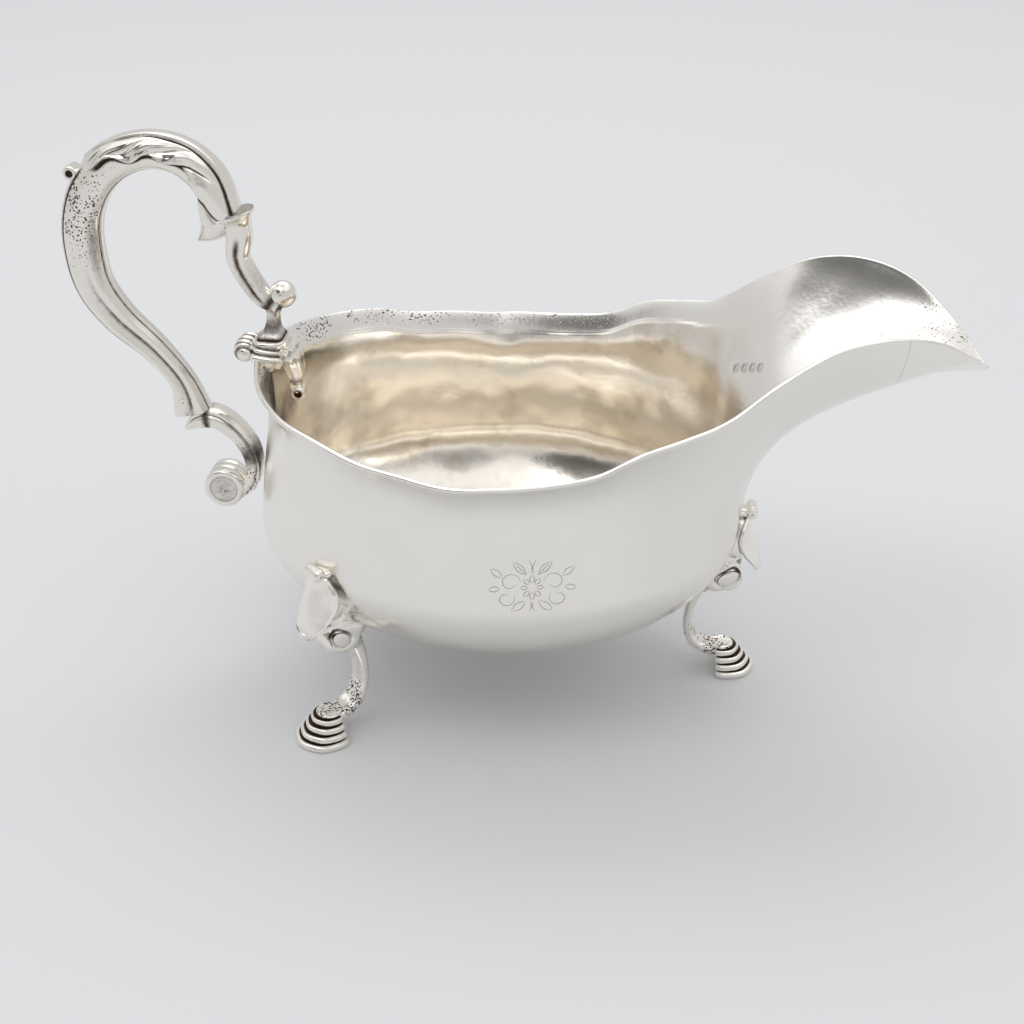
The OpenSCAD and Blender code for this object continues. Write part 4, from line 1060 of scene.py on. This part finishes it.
# %% [markdown]
# What repeats, or follows the surface, grows in Geometry Nodes: a small tree with named inputs for its sizes takes a
# simple mesh and returns the finished relief. Its result is then turned into a plain mesh, so nothing is left live.
# %% Growing a mesh with a node tree
def geometry_tree(name, inputs):
    tree = bpy.data.node_groups.new(name, "GeometryNodeTree")
    tree.interface.new_socket(name="Geometry", in_out="INPUT", socket_type="NodeSocketGeometry")
    for label, kind, value in inputs:
        socket = tree.interface.new_socket(name=label, in_out="INPUT", socket_type=kind)
        if value is not None:
            socket.default_value = value
    tree.interface.new_socket(name="Geometry", in_out="OUTPUT", socket_type="NodeSocketGeometry")
    return tree, tree.nodes.new("NodeGroupInput"), tree.nodes.new("NodeGroupOutput")


def finished(tree, geometry, g_in, g_out):
    """Every tree ends with real geometry that wears its material."""
    real = node(tree, "GeometryNodeRealizeInstances", {0: geometry}).outputs[0]
    dressed = node(tree, "GeometryNodeSetMaterial", {"Geometry": real, "Material": g_in.outputs["Material"]})
    tree.links.new(dressed.outputs[0], g_out.inputs[0])


def grown(name, mesh, tree, values, place=lambda points: points):
    """The plain mesh that a tree grows from a base mesh, moved by place, as a finished piece."""
    base = bpy.data.objects.new(name + "_base", mesh)
    bpy.context.scene.collection.objects.link(base)
    modifier = base.modifiers.new("grow", "NODES")
    modifier.node_group = tree
    sockets = {s.name: s.identifier for s in tree.interface.items_tree if s.in_out == "INPUT"}
    for label, value in values.items():
        modifier[sockets[label]] = value
    bpy.context.view_layer.update()
    result = bpy.data.meshes.new_from_object(base.evaluated_get(bpy.context.evaluated_depsgraph_get()))
    base.modifiers.remove(modifier)
    bpy.data.objects.remove(base)
    co = np.zeros(len(result.vertices) * 3)
    result.vertices.foreach_get("co", co)
    result.vertices.foreach_set("co", (place(co.reshape(-1, 3) / MM) * MM).ravel())
    result.polygons.foreach_set("use_smooth", np.ones(len(result.polygons), bool))
    result.name = name
    obj = bpy.data.objects.new(name, result)
    bpy.context.scene.collection.objects.link(obj)
    pieces[name] = obj
    print(f"{name}: {len(result.vertices)} vertices")


print("ready to grow pieces on", len(FEET), "feet and the bowl")

# %% [markdown]
# A hoof is one horseshoe layer, stacked four times and stepped back each time. The layer has a round nose and a ledge
# that darkens into the corner under the next one: tarnish there, and painted shade under the overhang.
# %% Tree that stacks the hoof's layers
WHOLE, MATERIAL = "NodeSocketInt", "NodeSocketMaterial"
stacked, g_in, g_out = geometry_tree("stacked_hoof_layers", [
    ("Layers", WHOLE, 4), ("Layer Height", FLOAT, 0.00155), ("Step Back", FLOAT, 0.14), ("Heel Shift", FLOAT, 0.0004),
    ("Material", MATERIAL, None)])
step = node(stacked, "GeometryNodeInputIndex").outputs[0]
line = node(stacked, "GeometryNodeMeshLine", {"Count": g_in.outputs["Layers"], "Offset": (0, 0, 0)}).outputs[0]
climb = node(stacked, "ShaderNodeCombineXYZ", {
    "X": calc(stacked, "MULTIPLY", calc(stacked, "MULTIPLY", step, -1), g_in.outputs["Heel Shift"]),
    "Z": calc(stacked, "MULTIPLY", step, g_in.outputs["Layer Height"])}).outputs[0]
raised = node(stacked, "GeometryNodeSetPosition", {"Geometry": line, "Offset": climb}).outputs[0]
shrink = calc(stacked, "SUBTRACT", 1.0, calc(stacked, "MULTIPLY", step, g_in.outputs["Step Back"]))
size = node(stacked, "ShaderNodeCombineXYZ", {"X": shrink, "Y": shrink, "Z": 1.0}).outputs[0]
copies = node(stacked, "GeometryNodeInstanceOnPoints", {"Points": raised, "Instance": g_in.outputs[0], "Scale": size})
finished(stacked, copies.outputs[0], g_in, g_out)
print(stacked.name, "has", len(stacked.nodes), "nodes")

# %% [markdown]
# The layer that the tree stacks is a flat skin: an outline cut off at the heel, whose edge rolls over in a half round.
# Its corner, under the next layer's nose, is painted darkest, and the underside of its own nose a little dark: tarnish
# that polish never reaches, and painted shade under each overhang.
# %% Hooves of four layers
LAYERS, STEP_BACK, HEEL_SHIFT = 4, 0.135, 0.42
LAYER_H = HOOF_H / LAYERS


def hoof_layer():
    """One layer: rings that roll over its edge and run in along its top."""
    t = np.linspace(-math.pi, math.pi, 121)[:-1]
    outline = np.stack([np.maximum(SOLE_R * np.cos(t), -HEEL), SOLE_R * np.sin(t)], 1)
    outline *= (1 + 0.010 * np.cos(7 * t))[:, None]
    turns = np.radians(np.linspace(-90, 80, 15))
    insets = np.concatenate([0.50 * (1 - np.cos(turns)), [0.62, 0.86, 1.05, 1.3]])
    heights = np.concatenate([LAYER_H / 2 * (1 + 0.96 * np.sin(turns)), LAYER_H * np.array([1.0, 1.0, 0.99, 0.98])])
    # Painted shade with tarnish: darker on the nose's underside and into the corner under the next layer.
    shade = np.concatenate([0.25 * smooth(-turns - 0.9), [0.15, 0.45, 1.0, 1.0]])
    rings = [np.concatenate([outline * (1 - i / SOLE_R), np.full((len(t), 1), z)], 1) for i, z in zip(insets, heights)]
    return with_paint(np.stack(rings), shade[:, None], 0.35)


points, faces, paints = hoof_layer()
for foot in FEET:
    mesh = bpy.data.meshes.new("hoof_layer")
    mesh.from_pydata((points * MM).tolist(), [], faces)
    for label, values in zip(("tarnish_and_shade", "pits"), paints.T):
        mesh.attributes.new(label, "FLOAT", "POINT").data.foreach_set("value", values.astype(np.float32))
    grown(f"{foot}_layered_hoof", mesh, stacked,
          {"Layers": LAYERS, "Layer Height": LAYER_H * MM, "Step Back": STEP_BACK, "Heel Shift": HEEL_SHIFT * MM,
           "Material": foot_silver}, lambda p, foot=foot: set_foot(p, foot, lean=False))

# %% [markdown]
# The near side carries an engraved device: two leafy scrolls that spring from a rosette. Each line is a polyline that
# a second tree turns into a fine round thread, half sunk in the silver and dark, thinner at its ends as a graver's cut
# is. The same tree draws the plain punch marks inside the lip.
# %% Tree that lays tarnished lines
cut_lines, g_in, g_out = geometry_tree("tarnished_lines", [
    ("Line Radius", FLOAT, 0.00011), ("Material", MATERIAL, None)])
thread = node(cut_lines, "GeometryNodeMeshToCurve", {"Mesh": g_in.outputs[0]}).outputs[0]
taper = node(cut_lines, "GeometryNodeInputNamedAttribute", {"Name": "cut"}, data_type="FLOAT").outputs[0]
section = node(cut_lines, "GeometryNodeCurvePrimitiveCircle",
               {"Resolution": 6, "Radius": g_in.outputs["Line Radius"]}).outputs[0]
swept = node(cut_lines, "GeometryNodeCurveToMesh", {"Curve": thread, "Profile Curve": section, "Fill Caps": True})
if "Scale" in swept.inputs:
    cut_lines.links.new(taper, swept.inputs["Scale"])
finished(cut_lines, swept.outputs[0], g_in, g_out)
print(cut_lines.name, "has", len(cut_lines.nodes), "nodes")

# %% [markdown]
# The drawing, on paper in mm, is made of two strokes only, as an engraver's practice plate is: a scroll that winds in,
# and the bowed side of a leaf. One side is drawn, and mirrored.
# %% Drawing the device
DEVICE_LEAVES = (
    ((1.2, 3.0), (4.2, 6.0), 0.18), ((1.2, 3.0), (4.2, 6.0), -0.16), ((1.2, 3.0), (3.6, 5.4), 0.02),
    ((6.4, 2.4), (9.0, 4.4), 0.22), ((6.4, 2.4), (9.0, 4.4), -0.18), ((6.9, -0.2), (9.4, -0.6), 0.25),
    ((6.9, -0.2), (9.4, -0.6), -0.22), ((1.4, -3.2), (4.4, -5.6), 0.2), ((1.4, -3.2), (4.4, -5.6), -0.2),
    ((0.3, 3.2), (0.9, 6.6), 0.14), ((0.3, -3.2), (0.7, -5.8), -0.14))


def spiral(at, start, radius, turns, sense, shrink=0.55, steps=46):
    """A scroll line that winds in from radius, as points on paper."""
    k = np.linspace(0, 1, steps)
    r = radius * (1 - shrink * k)
    a = start + sense * turns * 2 * math.pi * k
    return np.stack([at[0] + r * np.cos(a), at[1] + r * np.sin(a)], 1)


def leaf_line(root, tip, belly, steps=24):
    """One bowed side of a leaf."""
    k = np.linspace(0, 1, steps)[:, None]
    root, tip = np.array(root, float), np.array(tip, float)
    side = np.array([-(tip - root)[1], (tip - root)[0]])
    return root + (tip - root) * k + side * belly * np.sin(math.pi * k)


device = []
for petal in range(8):
    a = petal * math.pi / 4
    tip = (2.5 * math.cos(a), 3.0 * math.sin(a))
    device += [leaf_line((0.35 * tip[0], 0.35 * tip[1]), tip, belly) for belly in (0.26, -0.26)]
for side in (-1, 1):
    flip = np.array([side, 1])
    device.append(spiral((4.7, 1.2), math.pi, 2.3, 0.95, -1) * flip)
    device.append(spiral((5.6, -2.6), math.pi * 0.8, 2.0, 0.95, 1) * flip)
    device += [leaf_line(*leaf) * flip for leaf in DEVICE_LEAVES]
print("device:", len(device), "strokes")

# %% [markdown]
# The strokes are thrown onto the wall from straight in front of it, as a tracing would be laid on, and then cut. Each
# point carries the width of the cut there.
# %% Engraving the near side
def line_mesh(name, lines):
    """Polylines as a mesh of edges, with a taper value at every point."""
    points, edges, cut = [], [], []
    for line in lines:
        n = len(points)
        points += line.tolist()
        edges += [(n + i, n + i + 1) for i in range(len(line) - 1)]
        cut += (0.35 + 0.65 * np.sin(np.linspace(0, math.pi, len(line))) ** 0.6).tolist()
    mesh = bpy.data.meshes.new(name)
    mesh.from_pydata((np.array(points) * MM).tolist(), edges, [])
    mesh.attributes.new("cut", "FLOAT", "POINT").data.foreach_set("value", np.array(cut, np.float32))
    return mesh


def laid_on(line, start, direction, sink=0.03):
    """Points moved along a direction until they lie just in the silver's skin."""
    out = []
    for p in line:
        place, _, _, _ = bowl_tree.ray_cast(Vector(p + start), Vector(direction))
        out.append(np.array(place) + np.array(direction) * sink)
    return np.array(out)


DEVICE_X, DEVICE_Z, DEVICE_SCALE, CUT_R = 5.7, 48.6, 0.98, 0.085
engraved = []
for stroke in device:
    x, z = DEVICE_X + DEVICE_SCALE * stroke[:, 0], DEVICE_Z + DEVICE_SCALE * stroke[:, 1]
    engraved.append(laid_on(np.stack([x, 0 * x, z], 1), np.array([0, -70.0, 0]), (0, 1, 0)))
grown("engraved_device", line_mesh("device", engraved), cut_lines,
      {"Line Radius": CUT_R * MM, "Material": line_tarnish})

# %% [markdown]
# Inside the lip are four small punch marks. They are plain rounded squares here, each with a smaller one inside it, and
# the same tree draws them.
# %% Plain punches inside the lip
PUNCHES, PUNCH_AT, PUNCH_STEP = 4, np.array([49.6, 21.4, 71.2]), np.array([1.75, -1.35, 0.7])
PUNCH_W, PUNCH_H, PUNCH_LINE_R = 0.75, 0.95, 0.10
inward_view = unit(np.array([-0.25, 1.0, -0.75]))
row_way = unit(PUNCH_STEP)
up_way = unit(np.cross(inward_view, row_way))
round_turn = np.linspace(0, 2 * math.pi, 49)
wide = PUNCH_W * spow(np.cos(round_turn), 0.7)[:, None] * row_way
high = PUNCH_H * spow(np.sin(round_turn), 0.7)[:, None] * up_way
punched = [laid_on(PUNCH_AT + PUNCH_STEP * i + size * (wide + high), -inward_view * 12, inward_view, 0.02)
           for i in range(PUNCHES) for size in (1.0, 0.5)]
grown("plain_punch_marks", line_mesh("punches", punched), cut_lines,
      {"Line Radius": PUNCH_LINE_R * MM, "Material": line_tarnish})

# %% [markdown]
# Every finished piece stands for one part of the CAD model, which it hides, and has a slot for its kind of silver. The
# engraving and the punches stand for none: they lie on the bowl.
# %% Which CAD nodes each piece stands for
STANDS_FOR = {
    "raised_bowl": ("raised_silver", "bowl"), "let_in_lip": ("raised_silver", "spout_lip"),
    "scroll_near_half": ("handle_silver", "main_scroll_near_half"),
    "scroll_far_half": ("handle_silver", "main_scroll_far_half"),
    "leaf_cap_relief": ("handle_silver", "leaf_cap"), "leaf_root_roll": ("handle_silver", "thumb_bead"),
    "upper_scroll_bar": ("handle_silver", "upper_scroll"), "polished_ball": ("handle_silver", "ball"),
    "flared_stem": ("handle_silver", "stem"), "moulded_plinth": ("handle_silver", "plinth"),
    "pleated_rim_drop": ("handle_silver", "rim_drop"), "lower_scroll_band": ("handle_silver", "lower_scroll"),
    "rolled_scroll_end": ("handle_silver", "volute_roll"),
}
STANDS_FOR["engraved_device"] = STANDS_FOR["plain_punch_marks"] = ("raised_silver",)
for foot in FEET:
    for part, cad in (("knee_casting", "knee"), ("shield", "lappet"), ("eye_buttons", "eyes"), ("strap_shank", "shank"),
                      ("layered_hoof", "hoof")):
        STANDS_FOR[f"{foot}_{part}"] = ("foot_silver", f"{foot}_{cad}")
print(len(STANDS_FOR), "pieces,", len(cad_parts), "CAD nodes")

# %% [markdown]
# The studio is pale and even: a paper floor, a soft light high behind the boat, and a smaller one from the front left.
# %% Floor and lights
floor_mesh = bpy.data.meshes.new("floor")
floor_mesh.from_pydata([(-6, -6, 0), (6, -6, 0), (6, 6, 0), (-6, 6, 0)], [], [(0, 1, 2, 3)])
floor = bpy.data.objects.new("floor", floor_mesh)
bpy.context.scene.collection.objects.link(floor)
paper = bpy.data.materials.new("pale_paper")
paper.use_nodes = True
paper_shader = paper.node_tree.nodes["Principled BSDF"]
for label, value in (("Base Color", (0.735, 0.742, 0.752, 1)), ("Roughness", 0.7), ("Specular IOR Level", 0.2)):
    paper_shader.inputs[label].default_value = value
floor_mesh.materials.append(paper)


def soft_light(name, place, aim, size, power):
    lamp = bpy.data.lights.new(name, "AREA")
    lamp.shape, lamp.size, lamp.size_y = "RECTANGLE", *size
    lamp.energy = power
    obj = bpy.data.objects.new(name, lamp)
    bpy.context.scene.collection.objects.link(obj)
    obj.location = place
    obj.rotation_euler = (Vector(aim) - Vector(place)).to_track_quat("-Z", "Y").to_euler()
    print(f"{name}: {power} W")


soft_light("back_softbox", (-0.05, 0.52, 1.02), (0, 0, 0.05), (0.80, 0.46), 1.7)
soft_light("front_softbox", (-0.43, -0.46, 1.12), (0, 0, 0.06), (0.52, 0.44), 1.15)

# %% [markdown]
# Polished metal only shows what stands round it, so the dome matters more than the lamps. It is even at the sides,
# brighter half way up and dimmer overhead, and dark cards behind the camera draw the dark bands in the bowl.
# %% Sky dome with dark cards
CARDS = ((-144, 34, 14, 19, 0.88), (158, 38, 7, 14, 0.5), (-172, 4, 8, 20, 0.35))
world = bpy.data.worlds.new("studio_dome")
world.use_nodes = True
bpy.context.scene.world = world
sky = world.node_tree
way = node(sky, "ShaderNodeTexCoord").outputs["Generated"]
height = node(sky, "ShaderNodeSeparateXYZ", {0: way}).outputs["Z"]
level = calc(sky, "MULTIPLY", remap(sky, height, 0.50, 0.74, 0.64, 1.10), remap(sky, height, 0.93, 0.99, 1.0, 0.70))
for azimuth, elevation, near_edge, far_edge, depth in CARDS:
    az, el = math.radians(azimuth), math.radians(elevation)
    aim = (math.sin(az) * math.cos(el), math.cos(az) * math.cos(el), math.sin(el))
    cosine = node(sky, "ShaderNodeVectorMath", {0: way, 1: aim}, operation="DOT_PRODUCT").outputs["Value"]
    card = remap(sky, cosine, math.cos(math.radians(far_edge)), math.cos(math.radians(near_edge)), 1.0, 1.0 - depth)
    level = calc(sky, "MULTIPLY", level, card)
pale = node(sky, "ShaderNodeCombineColor", {0: level, 1: level, 2: calc(sky, "MULTIPLY", level, 1.01)}).outputs[0]
sky.links.new(pale, sky.nodes["Background"].inputs["Color"])
sky.nodes["Background"].inputs["Strength"].default_value = 1.0
print(world.name, "has", len(CARDS), "cards")

# %% [markdown]
# The camera stands at the near side, a little towards the lip, and looks down on the bowl at 29.5 degrees.
# %% Camera
LOOK_DOWN, LOOK_ASIDE = 29.5, 5
camera = bpy.data.objects.new("camera", bpy.data.cameras.new("camera"))
bpy.context.scene.collection.objects.link(camera)
camera.data.sensor_width, camera.data.lens = 36, 52.73
camera.location = (0.02475, -0.31149, 0.2179)
camera.rotation_euler = (math.radians(90 - LOOK_DOWN), 0, math.radians(LOOK_ASIDE))
bpy.context.scene.camera = camera
bpy.context.scene.view_settings.view_transform = "Standard"
print("camera at", tuple(round(c, 3) for c in camera.location))

# %% [markdown]
# Every piece rides on the one body, and each that stands for a CAD node hides it.
# %% Hand the pieces to the frame
for name, (slot, *nodes) in STANDS_FOR.items():
    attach(pieces[name], "root")
    if nodes:
        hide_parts(*nodes)
